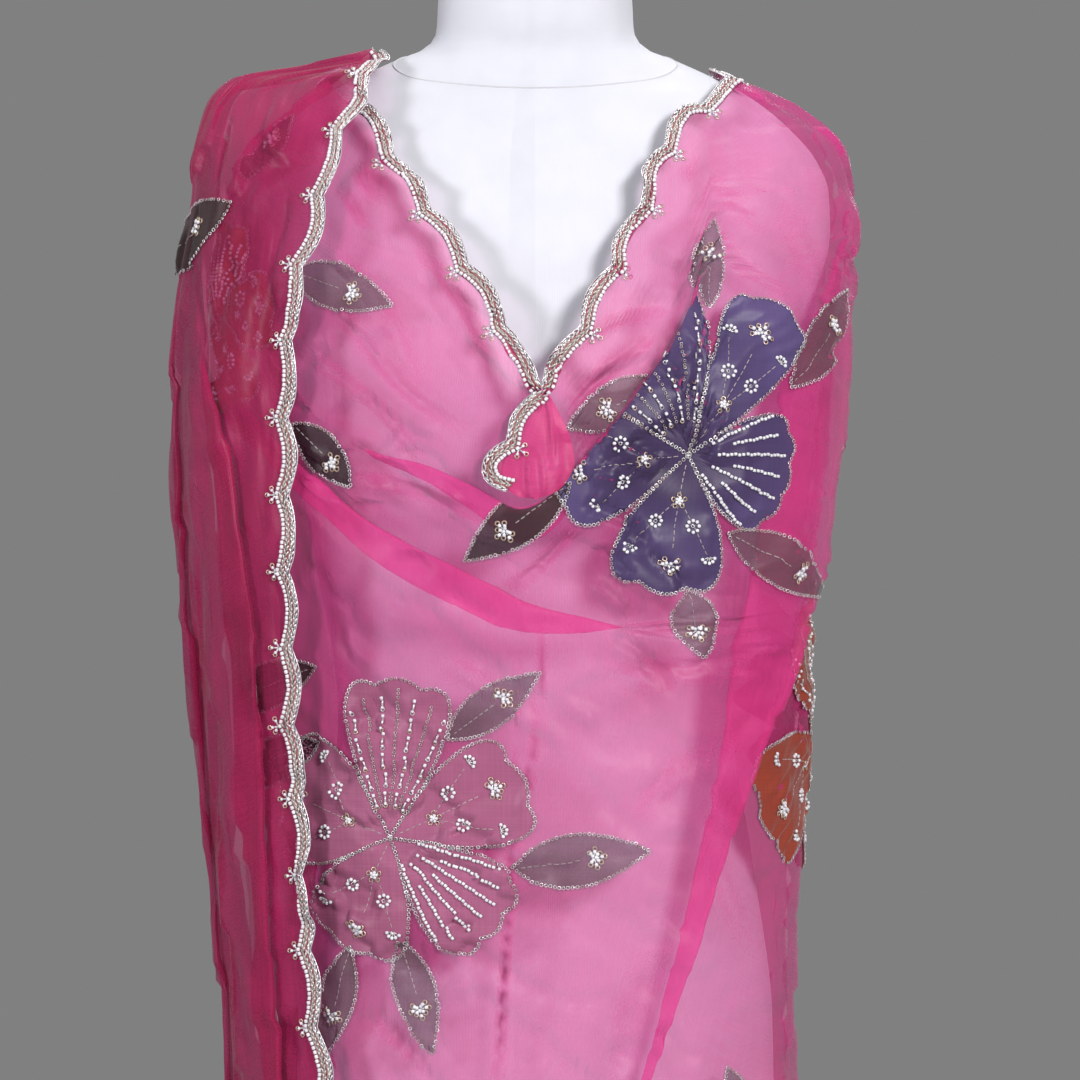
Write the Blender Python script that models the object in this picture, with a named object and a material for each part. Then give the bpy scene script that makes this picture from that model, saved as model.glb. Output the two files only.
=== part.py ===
"""A sheer dupatta stole wound round the shoulders of a limbless dress form on a stand.

The frame has +Z up, +X to the form's left and the form facing -Y. The origin is the middle of the
stand's foot, on the floor. Sizes are in millimetres and MM turns them into Blender's metres.
The cloth is one long strip: it starts in the tail that hangs behind the form's right shoulder, comes
over that shoulder, crosses the front in a V, goes over the left shoulder and across the back, and
ends in the fall that hangs in front of the right shoulder.
Every stretch of it lies on rings round the body. A place on a ring is an angle in degrees, from 0 at
the front over 90 at the form's left and 180 at the back, with -90 at the form's right, and a height.
"""

import math

import bmesh
import bpy
import numpy as np
from mathutils import Vector
from mathutils.bvhtree import BVHTree

MM = 0.001

# Cloth
WALL = 1.0
INNER_LIFT = 3.0
SHOULDER_FOOT = 1330.0
HANG_FOOT = 712.0
SHOULDER_LIFT = 7.0
OVER_LIFT = 16.0

# Scalloped border
SCALLOP_PITCH = 46.0
SCALLOP_DEPTH = 5.5
BORDER_INSIDE = 7.0
BORDER_OUTSIDE = 1.5
BORDER_WALL = 1.0
BORDER_GAP = 1.2
TUCK_BORDER_GAP = 0.4
STEPS_PER_SCALLOP = 4

# Dress form and stand
BODY_TOP = 1492.0
BODY_BOTTOM = 660.0
BODY_STEPS_ROUND = 30
POLE_RADIUS = 15.0
COLLAR_RADIUS = 24.0
COLLAR_HEIGHT = 46.0
COLLAR_SLOPE = 6.0
BASE_RADIUS = 180.0
BASE_RIM = 10.0
BASE_RIM_ROUND = 3.0
BASE_DOME = 5.0
BASE_HUB_RADIUS = 32.0
BASE_HUB_HEIGHT = 29.0
BASE_HUB_SLOPE = 4.0
TOUCH_GAP = 0.3

# Cross sections are superellipses of these powers
DRAPE_POWER = 2.3
BODY_POWER = 2.25


def table(names, *rows):
    """A short table with named columns, as a dictionary of arrays."""
    return dict(zip(names.split(), np.array(rows, float).T))


# What the cloth hangs on: the reach of its rings from the upright axis at each height.
# left_side is the form's left, right_side its right, and right_bundle its right under the outer layers.
DRAPE_SECTIONS = table(
    "height left_side right_side right_bundle front back",
    (430, 168, 152, 157, 118, 122),
    (600, 164, 152, 159, 113, 118),
    (750, 160, 154, 163, 108, 116),
    (850, 159, 157, 171, 107, 112),
    (950, 162, 164, 181, 108, 104),
    (1040, 166.5, 171, 189, 111, 98),
    (1110, 169, 177, 195, 115, 98),
    (1190, 179.5, 187, 201, 118, 101),
    (1240, 182.5, 192, 203, 115, 102),
    (1290, 184, 195, 202, 101, 100),
    (1335, 192, 192, 198, 84, 93),
    (1366, 187, 177, 196, 68, 84),
    (1391, 161, 150, 194, 53, 72),
    (1402, 138, 133, 188, 46, 65),
    (1411, 118, 116, 146, 41, 58),
    (1421, 92, 95, 95, 36, 50),
    (1428, 76, 78, 78, 33, 46),
    (1442, 64, 64, 64, 30, 44),
)

# The dress form inside: its own reach at each height, and how far back each section sits.
BODY_SECTIONS = table(
    "height side front back shift",
    (660, 146, 92, 104, 0),
    (760, 148, 94, 108, 0),
    (830, 147, 92, 104, 0),
    (930, 134, 84, 88, 0),
    (1016, 122, 78, 76, 0),
    (1110, 136, 84, 82, 0),
    (1200, 156, 92, 90, 0),
    (1270, 174, 84, 90, 0),
    (1320, 183, 70, 84, 0),
    (1343, 182, 60, 76, 0),
    (1362, 174.5, 52, 69, 0),
    (1384, 155.4, 42, 60, 0),
    (1400, 135.4, 36, 54, 0),
    (1412, 114, 32, 48, 1),
    (1424, 88, 31, 43, 2),
    (1433, 67, 33, 41, 3),
    (1443, 61.5, 38, 40, 3),
    (1461, 60.5, 41, 40, 3),
    (1480, 58, 41, 41, 2),
    (1492, 54, 38, 38, 2),
)
BUST_SPREAD = 76.0
BUST_HEIGHT = 1228.0
BUST_RISE = 14.0
BUST_WIDTH = 46.0

# The neckline of the stretch across the front, from the form's right to its left.
NECKLINE = table(
    "across height",
    (-123, 1411),
    (-103, 1389),
    (-85, 1355),
    (-66, 1328),
    (-50, 1303),
    (-34, 1279),
    (-18, 1251),
    (-5, 1225),
    (3, 1216),
    (11, 1226),
    (30, 1256),
    (45, 1287),
    (60, 1317),
    (76, 1359),
    (95, 1387),
    (116, 1411),
)

# The neckline over the shoulders and across the back, by angle.
BACK_NECKLINE = table(
    "angle height",
    (86, 1411),
    (105, 1413),
    (125, 1408),
    (150, 1398),
    (180, 1391),
    (210, 1398),
    (235, 1410),
    (250, 1417),
    (270, 1421),
)

# The front folds that run with the neckline. Each has its own fold edge at the top.
NECK_FOLD = table(
    "across height",
    (-190, 1262),
    (-150, 1214),
    (-95, 1177),
    (-64, 1166),
    (-35, 1150),
    (-8, 1135),
    (4, 1139),
    (32, 1169),
    (63, 1208),
    (89, 1251),
    (104, 1300),
    (150, 1290),
    (190, 1275),
)
COWL_FOLD = table(
    "across height",
    (-190, 1215),
    (-160, 1186),
    (-138, 1163),
    (-121, 1148),
    (-100, 1130),
    (-75, 1114),
    (-48, 1100),
    (-22, 1087),
    (-2, 1080),
    (29, 1076),
    (99, 1073),
    (135, 1090),
    (160, 1114),
    (190, 1150),
)
# How strongly each fold doubles over, by the distance across: 1 is a full fold and 0 is none.
NECK_FOLD_STRENGTH = table(
    "across strength",
    (-118, 0),
    (-96, 0.48),
    (-64, 0.62),
    (-35, 0.79),
    (-8, 0.95),
    (63, 0.95),
    (89, 0.82),
    (98, 0.57),
    (107, 0),
)
COWL_FOLD_STRENGTH = table(
    "across strength",
    (-200, 0.75),
    (-138, 0.79),
    (-75, 0.83),
    (-22, 0.83),
    (-2, 0.7),
    (29, 0.55),
    (51, 0.36),
    (75, 0.2),
    (130, 0),
)
# Each fold's flat width, how far it lifts the cloth, and how soon the cloth settles again beyond it.
NECK_FOLD_SPAN, NECK_FOLD_DEPTH, NECK_FOLD_SETTLE = 44.0, 7.5, 34.0
COWL_FOLD_SPAN, COWL_FOLD_DEPTH, COWL_FOLD_SETTLE = 60.0, 8.5, 90.0

# The fold that falls from the form's left shoulder towards the middle of the hem.
SHOULDER_FOLD = table(
    "height angle span strength",
    (430, -4, 24, 0),
    (560, 0, 24, 0.1),
    (712, 9, 24, 0.36),
    (803, 21, 30, 0.44),
    (880, 30, 40, 0.53),
    (951, 41, 48, 0.64),
    (1005, 52, 56, 0.77),
    (1065, 62, 70, 0.95),
    (1126, 65, 76, 0.95),
    (1221, 68, 68, 0.95),
    (1273, 79, 48, 0.89),
    (1318, 88, 30, 0.45),
    (1345, 91, 24, 0),
    (1440, 91, 24, 0),
)
SHOULDER_FOLD_DEPTH, SHOULDER_FOLD_SETTLE = 12.0, 14.0

# Where each stretch starts and ends, in degrees, with a seam's gap between neighbours.
FRONT_SPAN = (-99.8, 104.8)
BACK_SPAN = (105.2, 249.8)
FALL_SPAN = (-90.0, -109.8)
TAIL_SPAN = (190.0, 259.8)

# Hem heights by angle, for each stretch.
FRONT_HEM = table(
    "angle height", (-104, 556), (-60, 520), (-20, 462), (0, 440), (30, 456), (70, 516), (106, 552)
)
BACK_HEM = table("angle height", (104, 552), (140, 520), (180, 500), (215, 520), (251, 545))
FALL_HEM = table("angle height", (-111, 545), (-90, 520), (-60, 486), (-30, 470))
TAIL_HEM = table("angle height", (185, 622), (220, 610), (262, 606))

# The free edge of the fall in front of the right shoulder.
FALL_EDGE = table(
    "height across",
    (430, -80),
    (520, -88),
    (600, -98),
    (700, -109),
    (802, -119),
    (850, -125),
    (922, -131),
    (994, -136),
    (1066, -139),
    (1198, -142),
    (1258, -139),
    (1285, -134),
    (1313, -126),
    (1344, -121),
    (1375, -112),
    (1401, -102),
    (1421, -93),
)
FALL_FOLDS = (
    table(
        "height angle strength",
        (430, -61, 0.6),
        (900, -58, 0.8),
        (1050, -57, 0.95),
        (1180, -60, 0.82),
        (1250, -66, 0.3),
        (1320, -72, 0),
        (1430, -80, 0),
    ),
    table(
        "height angle strength",
        (430, -86, 0.7),
        (900, -87, 0.82),
        (1060, -86, 0.95),
        (1180, -82, 0.75),
        (1250, -84, 0.3),
        (1330, -88, 0),
        (1430, -94, 0),
    ),
)
FALL_FOLD_SPAN, FALL_FOLD_DEPTH, FALL_FOLD_SETTLE = 72.0, 9.0, 12.0

# A full fold in section: where the flat cloth's points end up, as shares of its span and depth.
FOLD_PROFILE = table(
    "flat lies lift",
    (-0.5, -0.5, 0),
    (-0.33, -0.13, 0),
    (-0.2, 0.24, 0),
    (-0.178, 0.27, 0.125),
    (-0.155, 0.27, 0.375),
    (-0.133, 0.24, 0.5),
    (0, 0, 0.5),
    (0.133, -0.24, 0.5),
    (0.155, -0.27, 0.625),
    (0.178, -0.27, 0.875),
    (0.2, -0.24, 1),
    (0.33, 0.13, 1),
    (0.5, 0.5, 1),
)

FOLD = FOLD_PROFILE["flat"]
# The same with its flat legs halved, for a fold wide enough to wrap round the body's side.
LEGS = [(a + b) / 2 for a, b in zip(FOLD[:-1], FOLD[1:]) if b - a > 0.1]
WIDE_FOLD = np.sort(np.concatenate([FOLD, LEGS]))

# Soft hanging ridges on the back: where each lies, how wide and high it is, and where it fades.
BACK_RIDGES = table(
    "angle_top angle_foot width rise fades_above",
    (112, 116, 6, 7, 1330),
    (126, 134, 6.5, 11, 1345),
    (143, 152, 6.5, 12, 1320),
    (160, 169, 7, 10, 1290),
    (178, 184, 7, 12, 1310),
    (196, 199, 6.5, 10, 1330),
    (213, 215, 6.5, 12, 1345),
    (230, 232, 6, 9, 1360),
)

# The small flap of cloth that doubles over at the bottom of the V: its two edges, top to bottom.
TUCK_EDGES = table(
    "left height_left right height_right",
    (2, 1213, 9, 1211),
    (-3, 1204, 14, 1201),
    (-15, 1185, 21, 1185),
    (-23, 1173, 23, 1173),
    (-24, 1167, 20, 1164),
    (-18, 1158, 12, 1155),
    (-9, 1152, 1, 1151),
)
TUCK_LIFT_TOP, TUCK_LIFT_FOOT = 8.4, 16.0
TUCK_STEPS_ACROSS = 5
TUCK_STEPS_DOWN = 9


def smooth_along(x, xs, ys):
    """A smooth curve through a table's points that doesn't overshoot them, read at x."""
    order = np.argsort(xs)
    xs, ys = xs[order], ys[order]
    gap = np.diff(xs)
    rise = np.diff(ys) / gap
    slope = np.zeros_like(ys)
    same_way = rise[:-1] * rise[1:] > 0
    both = rise[:-1] + rise[1:]
    slope[1:-1] = np.where(same_way, 2 * rise[:-1] * rise[1:] / np.where(both == 0, 1, both), 0)
    slope[0], slope[-1] = rise[0], rise[-1]
    x = np.clip(np.asarray(x, float), xs[0], xs[-1])
    i = np.clip(np.searchsorted(xs, x) - 1, 0, len(gap) - 1)
    h = gap[i]
    s = (x - xs[i]) / h
    return (
        ys[i] * (1 + 2 * s) * (1 - s) ** 2
        + ys[i + 1] * s**2 * (3 - 2 * s)
        + h * slope[i] * s * (1 - s) ** 2
        - h * slope[i + 1] * s**2 * (1 - s)
    )


def column(rows, name, at, key="height"):
    return smooth_along(at, rows[key], rows[name])


def eased(share):
    share = np.clip(share, 0, 1)
    return share * share * (3 - 2 * share)


def signed_power(value, power):
    return np.sign(value) * np.abs(value) ** (2 / power)


def drape_ring(angle, height, bundle):
    """A point on the ring that the cloth hangs on. bundle is 1 where the outer layers spread it."""
    turn = np.radians(angle)
    side, ahead = np.sin(turn), np.cos(turn)
    right = column(DRAPE_SECTIONS, "right_side", height)
    right = right + bundle * (column(DRAPE_SECTIONS, "right_bundle", height) - right)
    reach = np.where(side > 0, column(DRAPE_SECTIONS, "left_side", height), right)
    depth = np.where(
        ahead > 0,
        column(DRAPE_SECTIONS, "front", height),
        column(DRAPE_SECTIONS, "back", height),
    )
    x = reach * signed_power(side, DRAPE_POWER)
    y = -depth * signed_power(ahead, DRAPE_POWER)
    return np.stack([x, y, height + 0 * x], axis=-1)


def on_drape(angle, height, lift, bundle=0.0):
    """A point lifted off the drape ring along the surface's own normal."""
    step_angle, step_height = 1.0, 2.0
    angle, height = np.broadcast_arrays(np.asarray(angle, float), np.asarray(height, float))
    along = drape_ring(angle + step_angle, height, bundle) - drape_ring(angle - step_angle, height, bundle)
    up = drape_ring(angle, height + step_height, bundle) - drape_ring(angle, height - step_height, bundle)
    normal = np.cross(along, up)
    return drape_ring(angle, height, bundle) + unit(normal) * np.asarray(lift)[..., None]


def angle_at(across, height, bundle=0.0):
    """The angle on the front of the ring at this distance across."""
    right = column(DRAPE_SECTIONS, "right_side", height)
    right = right + bundle * (column(DRAPE_SECTIONS, "right_bundle", height) - right)
    reach = np.where(across > 0, column(DRAPE_SECTIONS, "left_side", height), right)
    share = np.clip(np.abs(across) / reach, 0, 1)
    return np.sign(across) * np.degrees(np.arcsin(share ** (DRAPE_POWER / 2)))


def across_at(angle, height):
    return drape_ring(angle, height, 0.0)[..., 0]


def clear_strength(strength):
    """A fold's strength, kept off the values at which the cloth would only just double over."""
    return np.where(strength < 0.45, strength * 0.7, np.maximum(strength, 0.54))


def folded(offset, span, strength):
    """Where a strip of cloth lies once it doubles over: it goes forward, back and forward again."""
    place = offset / span
    strength = clear_strength(strength)
    lies = np.interp(place, FOLD_PROFILE["flat"], FOLD_PROFILE["lies"])
    return np.where(np.abs(place) < 0.5, offset + strength * (lies * span - offset), offset)


def fold_lift(offset, span, depth, strength, decay):
    """The height of the cloth through a fold, outermost at positive offsets, settling beyond it."""
    rise = np.interp(offset / span, FOLD_PROFILE["flat"], FOLD_PROFILE["lift"])
    beyond = np.maximum(offset - span / 2, 0)
    return depth * np.sqrt(clear_strength(strength)) * rise * np.exp(-beyond / decay)


def neckline_height(angle):
    """The height of the upper edge of the front stretch, over both shoulders."""
    front = angle_at(NECKLINE["across"], NECKLINE["height"])
    angles = np.concatenate([[-104, -92], front[1:-1], [86, 96, 106]])
    heights = np.concatenate([[1409, 1408], NECKLINE["height"][1:-1], [1411, 1413, 1413]])
    return smooth_along(angle, angles, heights)


def height_on(rows, angle, guess=1150.0):
    """The height of a front fold line at this angle."""
    height = np.full(np.shape(angle), guess)
    for _ in range(12):
        height = smooth_along(across_at(angle, height), rows["across"], rows["height"])
    return height


def back_ridges(angle, height):
    """How far the soft ridges on the back stand out."""
    low, high = DRAPE_SECTIONS["height"][0], BACK_NECKLINE["height"].max()
    down = (high - height) / (high - low)
    total = 0.0
    for i in range(len(BACK_RIDGES["rise"])):
        ridge = {name: values[i] for name, values in BACK_RIDGES.items()}
        middle = ridge["angle_top"] + (ridge["angle_foot"] - ridge["angle_top"]) * down
        reach = eased((ridge["fades_above"] - height) / 260)
        total = total + ridge["rise"] * reach * np.exp(-(((angle - middle) / ridge["width"]) ** 2))
    return total


def between(stops, seats):
    """The place of each seat between numbered stops: 1.5 is halfway from the second to the third."""
    shape = np.broadcast_shapes(np.shape(seats), *(np.shape(stop) for stop in stops))
    stops = [np.broadcast_to(stop, shape) for stop in stops]
    seats = np.broadcast_to(seats, shape)
    below = np.clip(np.floor(seats).astype(int), 0, len(stops) - 2)
    low, high = np.choose(below, stops), np.choose(below + 1, stops)
    return low + (high - low) * (seats - below)


def ladder(stops, counts):
    """Stops joined by evenly spaced steps, count by count."""
    parts = [np.linspace(a, b, n, endpoint=False) for a, b, n in zip(stops[:-1], stops[1:], counts)]
    return np.concatenate([*parts, [stops[-1]]])


def seats_for(*stretches):
    """Seats for numbered stretches: a count gives even steps, and a list of a fold's places gives those."""
    parts = []
    for number, stretch in enumerate(stretches):
        steps = np.arange(stretch) / stretch if isinstance(stretch, int) else stretch[:-1] + 0.5
        parts.append(number + steps)
    return np.concatenate([*parts, [len(stretches)]])


def front_places():
    """Angle and height of the front stretch's grid before it is folded, columns by rows."""
    seats = seats_for(13, 2, WIDE_FOLD, 2)[:, None]
    shares = seats_for(3, FOLD, 3, FOLD, 8, 4)
    start, end = FRONT_SPAN
    height = np.full((len(seats), len(shares)), 1200.0)
    for _ in range(16):
        fold = column(SHOULDER_FOLD, "angle", height)
        half = column(SHOULDER_FOLD, "span", height) / 2
        before, after = fold - half, np.minimum(fold + half, end - 1)
        angle = between([start, np.minimum(before - 3, 26), before, after, end], seats)
        neck_fold = height_on(NECK_FOLD, angle)
        cowl = height_on(COWL_FOLD, angle)
        stops = [
            neckline_height(angle),
            neck_fold + NECK_FOLD_SPAN / 2,
            neck_fold - NECK_FOLD_SPAN / 2,
            cowl + COWL_FOLD_SPAN / 2,
            cowl - COWL_FOLD_SPAN / 2,
            HANG_FOOT,
            column(FRONT_HEM, "height", angle, key="angle"),
        ]
        stops[1] = np.minimum(stops[1], stops[0] - 14)
        stops[2] = np.minimum(stops[2], stops[1] - 20)
        stops[3] = np.minimum(stops[3], stops[2] - 6)
        new = between(stops, shares)
        height = 0.5 * height + 0.5 * new
    return angle, new


def fold_front(angle, height):
    """Angle, height and lift of the front stretch after its three folds."""
    across = across_at(angle, height)
    neck_line, cowl_line = height_on(NECK_FOLD, angle), height_on(COWL_FOLD, angle)
    neck_strength = np.interp(across, NECK_FOLD_STRENGTH["across"], NECK_FOLD_STRENGTH["strength"], 0, 0)
    cowl_strength = np.interp(across, COWL_FOLD_STRENGTH["across"], COWL_FOLD_STRENGTH["strength"], 0, 0)
    back_half = np.abs(angle) > 90
    neck_strength = np.where(back_half, 0, neck_strength)
    cowl_strength = np.where(angle > 90, 0, cowl_strength)
    below_neck, below_cowl = neck_line - height, cowl_line - height
    lift = INNER_LIFT
    lift = lift + fold_lift(below_neck, NECK_FOLD_SPAN, NECK_FOLD_DEPTH, neck_strength, NECK_FOLD_SETTLE)
    lift = lift + fold_lift(below_cowl, COWL_FOLD_SPAN, COWL_FOLD_DEPTH, cowl_strength, COWL_FOLD_SETTLE)
    new_height = np.where(
        np.abs(below_neck) < NECK_FOLD_SPAN / 2,
        neck_line - folded(below_neck, NECK_FOLD_SPAN, neck_strength),
        height,
    )
    new_height = np.where(
        np.abs(below_cowl) < COWL_FOLD_SPAN / 2,
        cowl_line - folded(below_cowl, COWL_FOLD_SPAN, cowl_strength),
        new_height,
    )
    span = column(SHOULDER_FOLD, "span", height)
    strength = column(SHOULDER_FOLD, "strength", height)
    beyond = angle - column(SHOULDER_FOLD, "angle", height)
    lift = lift + fold_lift(-beyond, span, SHOULDER_FOLD_DEPTH, strength, SHOULDER_FOLD_SETTLE)
    new_angle = angle - beyond + folded(beyond, span, strength)
    return new_angle, new_height, lift


def front_surface():
    angle, height, lift = fold_front(*front_places())
    return on_drape(angle, height, lift)


def over_lift(height):
    """How far off its ring the outer layer of cloth lies. It comes close at the top of the shoulder."""
    return SHOULDER_LIFT + (OVER_LIFT - SHOULDER_LIFT) * eased((1424 - height) / 70)


def back_surface(columns=32, rows=(5, 8)):
    angle = np.linspace(*BACK_SPAN, columns + 1)[:, None]
    top = column(BACK_NECKLINE, "height", angle, key="angle")
    hem = column(BACK_HEM, "height", angle, key="angle")
    height = between([top, SHOULDER_FOOT, hem], seats_for(*rows))
    angle = angle + 0 * height
    over = eased((angle - 130) / 75)
    lift = INNER_LIFT + (over_lift(height) - INNER_LIFT) * over + back_ridges(angle, height)
    lift = lift + over * fold_fall(angle - 360, height)[1]
    return on_drape(angle, height, lift, bundle=over)


def fold_fall(angle, height):
    """Angle and extra lift of the fall after its two hanging folds."""
    reach = math.radians(1) * column(DRAPE_SECTIONS, "right_bundle", height)
    span = FALL_FOLD_SPAN / reach
    new_angle, lift = angle, 0.0
    for fold in FALL_FOLDS:
        strength = column(fold, "strength", height)
        line = column(fold, "angle", height)
        beyond = line - angle
        lift = lift + fold_lift(beyond, span, FALL_FOLD_DEPTH, strength, FALL_FOLD_SETTLE)
        inside = np.abs(beyond) < span / 2
        new_angle = np.where(inside, line - folded(beyond, span, strength), new_angle)
    return new_angle, lift


def fall_surface(rows=(6, 11)):
    """The end that hangs in front of the right shoulder, doubled into two hanging folds."""
    seats = seats_for(2, FOLD, 1, FOLD, 1)[::-1, None]
    shares = seats_for(*rows)
    start, end = FALL_SPAN
    height = np.full((len(seats), len(shares)), 1100.0)
    for _ in range(14):
        reach = column(DRAPE_SECTIONS, "right_bundle", height)
        half = FALL_FOLD_SPAN / 2 / (math.radians(1) * reach)
        edge = angle_at(column(FALL_EDGE, "across", height), height, bundle=1.0)
        first = column(FALL_FOLDS[0], "angle", height)
        second = column(FALL_FOLDS[1], "angle", height)
        stops = [edge, first + half, first - half, second + half, second - half, end + 0 * edge]
        for k in range(1, 5):
            stops[k] = np.minimum(stops[k], stops[k - 1] - 0.5)
        for k in (4, 3, 2, 1):
            stops[k] = np.maximum(stops[k], stops[k + 1] + 0.5)
        angle = between(stops, seats)
        top = column(BACK_NECKLINE, "height", np.where(angle < start, angle + 360, 270), key="angle")
        hem = column(FALL_HEM, "height", angle, key="angle")
        height = between([top, SHOULDER_FOOT, hem], shares)
    angle, lift = fold_fall(angle, height)
    return on_drape(angle, height, lift + over_lift(height), bundle=1.0)


def tail_surface(columns=12, rows=(4, 4)):
    angle = np.linspace(*TAIL_SPAN, columns + 1)[:, None]
    top = column(BACK_NECKLINE, "height", angle, key="angle") - 9
    hem = column(TAIL_HEM, "height", angle, key="angle")
    height = between([top, SHOULDER_FOOT, hem], seats_for(*rows))
    ripple = 2.0 * (1 + np.sin(np.radians(angle * 14))) * eased((1330 - height) / 200)
    return on_drape(angle + 0 * height, height, INNER_LIFT + ripple)


def tuck_surface():
    """The flap at the bottom of the V, lying on the front stretch and curling out at its left edge."""
    rows = np.linspace(0, 1, TUCK_STEPS_DOWN + 1)
    stations = np.linspace(0, 1, len(TUCK_EDGES["left"]))
    edges = {name: smooth_along(rows, stations, values) for name, values in TUCK_EDGES.items()}
    share = np.linspace(0, 1, TUCK_STEPS_ACROSS + 1)[:, None]
    across = edges["left"] + (edges["right"] - edges["left"]) * share
    height = edges["height_left"] + (edges["height_right"] - edges["height_left"]) * share
    curl = 2.0 * rows * (1 - share) ** 2 + 1.5 * np.sin(math.pi * rows) * np.sin(math.pi * share)
    lift = TUCK_LIFT_TOP + (TUCK_LIFT_FOOT - TUCK_LIFT_TOP) * np.sin(math.pi / 2 * rows)
    return on_drape(angle_at(across, height), height, lift + curl)


def unit(vectors):
    return vectors / np.maximum(np.linalg.norm(vectors, axis=-1, keepdims=True), 1e-9)


def run_of(points, axis):
    """The direction of a grid's lines at each point, halfway between the steps on both sides of it."""
    steps = unit(np.diff(points, axis=axis))
    first, last = np.take(steps, [0], axis=axis), np.take(steps, [-1], axis=axis)
    before, after = np.concatenate([first, steps], axis=axis), np.concatenate([steps, last], axis=axis)
    return unit(before + after)


def grid_normals(points):
    """The outward normal at each point of a grid, columns by rows."""
    return unit(np.cross(run_of(points, 1), run_of(points, 0)))


def add_object(name, vertices, faces, colour, roughness, metallic=0.0, smooth_angle=40):
    mesh = bpy.data.meshes.new(name)
    mesh.from_pydata([tuple(p) for p in np.asarray(vertices) * MM], [], faces)
    bm = bmesh.new()
    bm.from_mesh(mesh)
    bmesh.ops.recalc_face_normals(bm, faces=bm.faces)
    bmesh.ops.triangulate(bm, faces=bm.faces)
    bm.to_mesh(mesh)
    bm.free()
    mesh.shade_smooth()
    mesh.set_sharp_from_angle(angle=math.radians(smooth_angle))
    material = bpy.data.materials.new(name)
    material.use_nodes = True
    shader = material.node_tree.nodes["Principled BSDF"]
    shader.inputs["Base Color"].default_value = (*colour, 1)
    shader.inputs["Roughness"].default_value = roughness
    shader.inputs["Metallic"].default_value = metallic
    mesh.materials.append(material)
    made = bpy.data.objects.new(name, mesh)
    bpy.context.scene.collection.objects.link(made)
    return made


def wall_of(outer, inner):
    """Vertices and faces of a closed wall between two grids of the same shape."""
    columns, rows = outer.shape[:2]
    count = columns * rows

    def index(i, j, side):
        return side * count + i * rows + j

    middle = (outer + inner) / 2
    falling = np.linalg.norm(middle[1:, 1:] - middle[:-1, :-1], axis=-1)
    rising = np.linalg.norm(middle[1:, :-1] - middle[:-1, 1:], axis=-1)
    outside, inside = [], []
    for i in range(columns - 1):
        for j in range(rows - 1):
            corners = [(i, j), (i + 1, j), (i + 1, j + 1), (i, j + 1)]
            turn = 0 if falling[i, j] <= rising[i, j] else 1
            a, b, c, d = corners[turn:] + corners[:turn]
            for corner in ((a, b, c), (a, c, d)):
                outside.append([index(*place, 0) for place in corner])
                inside.append([index(*place, 1) for place in reversed(corner)])
    faces = outside + inside
    rim = [(i, 0) for i in range(columns)] + [(columns - 1, j) for j in range(1, rows)]
    rim += [(i, rows - 1) for i in range(columns - 2, -1, -1)] + [(0, j) for j in range(rows - 2, 0, -1)]
    for here, there in zip(rim, rim[1:] + rim[:1]):
        faces.append([index(*here, 0), index(*here, 1), index(*there, 1), index(*there, 0)])
    vertices = np.concatenate([outer.reshape(-1, 3), inner.reshape(-1, 3)])
    return vertices, faces


def cloth(name, points, colour):
    normals = grid_normals(points)
    outer, inner = points + normals * WALL / 2, points - normals * WALL / 2
    vertices, faces = wall_of(outer, inner)
    return add_object(name, vertices, faces, colour, 0.55)


def outer_face(points):
    """A tree of the outer face of a stretch of cloth, for laying trim on it."""
    outer = points + grid_normals(points) * WALL / 2
    vertices, faces = wall_of(outer, outer)
    cells = (points.shape[0] - 1) * (points.shape[1] - 1)
    return BVHTree.FromPolygons([Vector(p) for p in vertices], faces[: 2 * cells])


def laid(tree, points, normals, above):
    """Points moved along their normals to lie a set distance above the cloth."""
    placed = points + normals * (WALL / 2 + above)
    for k, (point, normal) in enumerate(zip(points, normals)):
        hit = tree.ray_cast(Vector(point + normal * 4), Vector(-normal), 9)
        if hit[0] is not None:
            placed[k] = np.array(hit[0]) + normal * above
    return placed


def border(name, points, side, colour, part, trim, gap):
    """A scalloped strip laid on a cloth's outer face along one side of it, or along a part of that side."""
    edge, inward, normal = edge_of(points, side)
    run = np.concatenate([[0], np.cumsum(np.linalg.norm(np.diff(edge, axis=0), axis=1))])
    first, last = part[0] * run[-1] + trim, part[1] * run[-1] - trim
    scallops = max(1, round((last - first) / SCALLOP_PITCH))
    pitch = (last - first) / scallops
    at = np.linspace(first, last, scallops * STEPS_PER_SCALLOP + 1)
    folds = run[(run > first + 1) & (run < last - 1)]
    clear = np.abs(at[1:-1, None] - folds[None, :]).min(axis=1) > pitch / STEPS_PER_SCALLOP / 3
    at = np.sort(np.concatenate([at[:1], at[1:-1][clear], folds, at[-1:]]))

    def resampled(values):
        return np.stack([np.interp(at, run, values[:, k]) for k in range(3)], axis=1)

    middle, normal = resampled(edge), unit(resampled(normal))
    along = unit(np.gradient(middle, axis=0))
    square, inward = unit(np.cross(normal, along)), unit(resampled(inward))
    square *= np.sign(np.sum(square * inward, axis=1, keepdims=True))
    slant = np.maximum(np.sum(square * inward, axis=1), 0.6)
    bulge = np.abs(np.sin(math.pi * (at - first) / pitch))
    outside = middle - square * (BORDER_OUTSIDE + SCALLOP_DEPTH * bulge)[:, None]
    inside = middle + inward * ((BORDER_INSIDE - 0.5 * SCALLOP_DEPTH * (1 - bulge)) / slant)[:, None]
    tree = outer_face(points)
    low_outside = outside + normal * (WALL / 2 + gap)
    low_inside = laid(tree, inside, normal, gap)
    low = np.stack([low_outside, low_inside], axis=1)
    high = low + normal[:, None] * BORDER_WALL
    vertices, faces = wall_of(high, low)
    return add_object(name, vertices, faces, colour, 0.35, 0.4)


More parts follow.
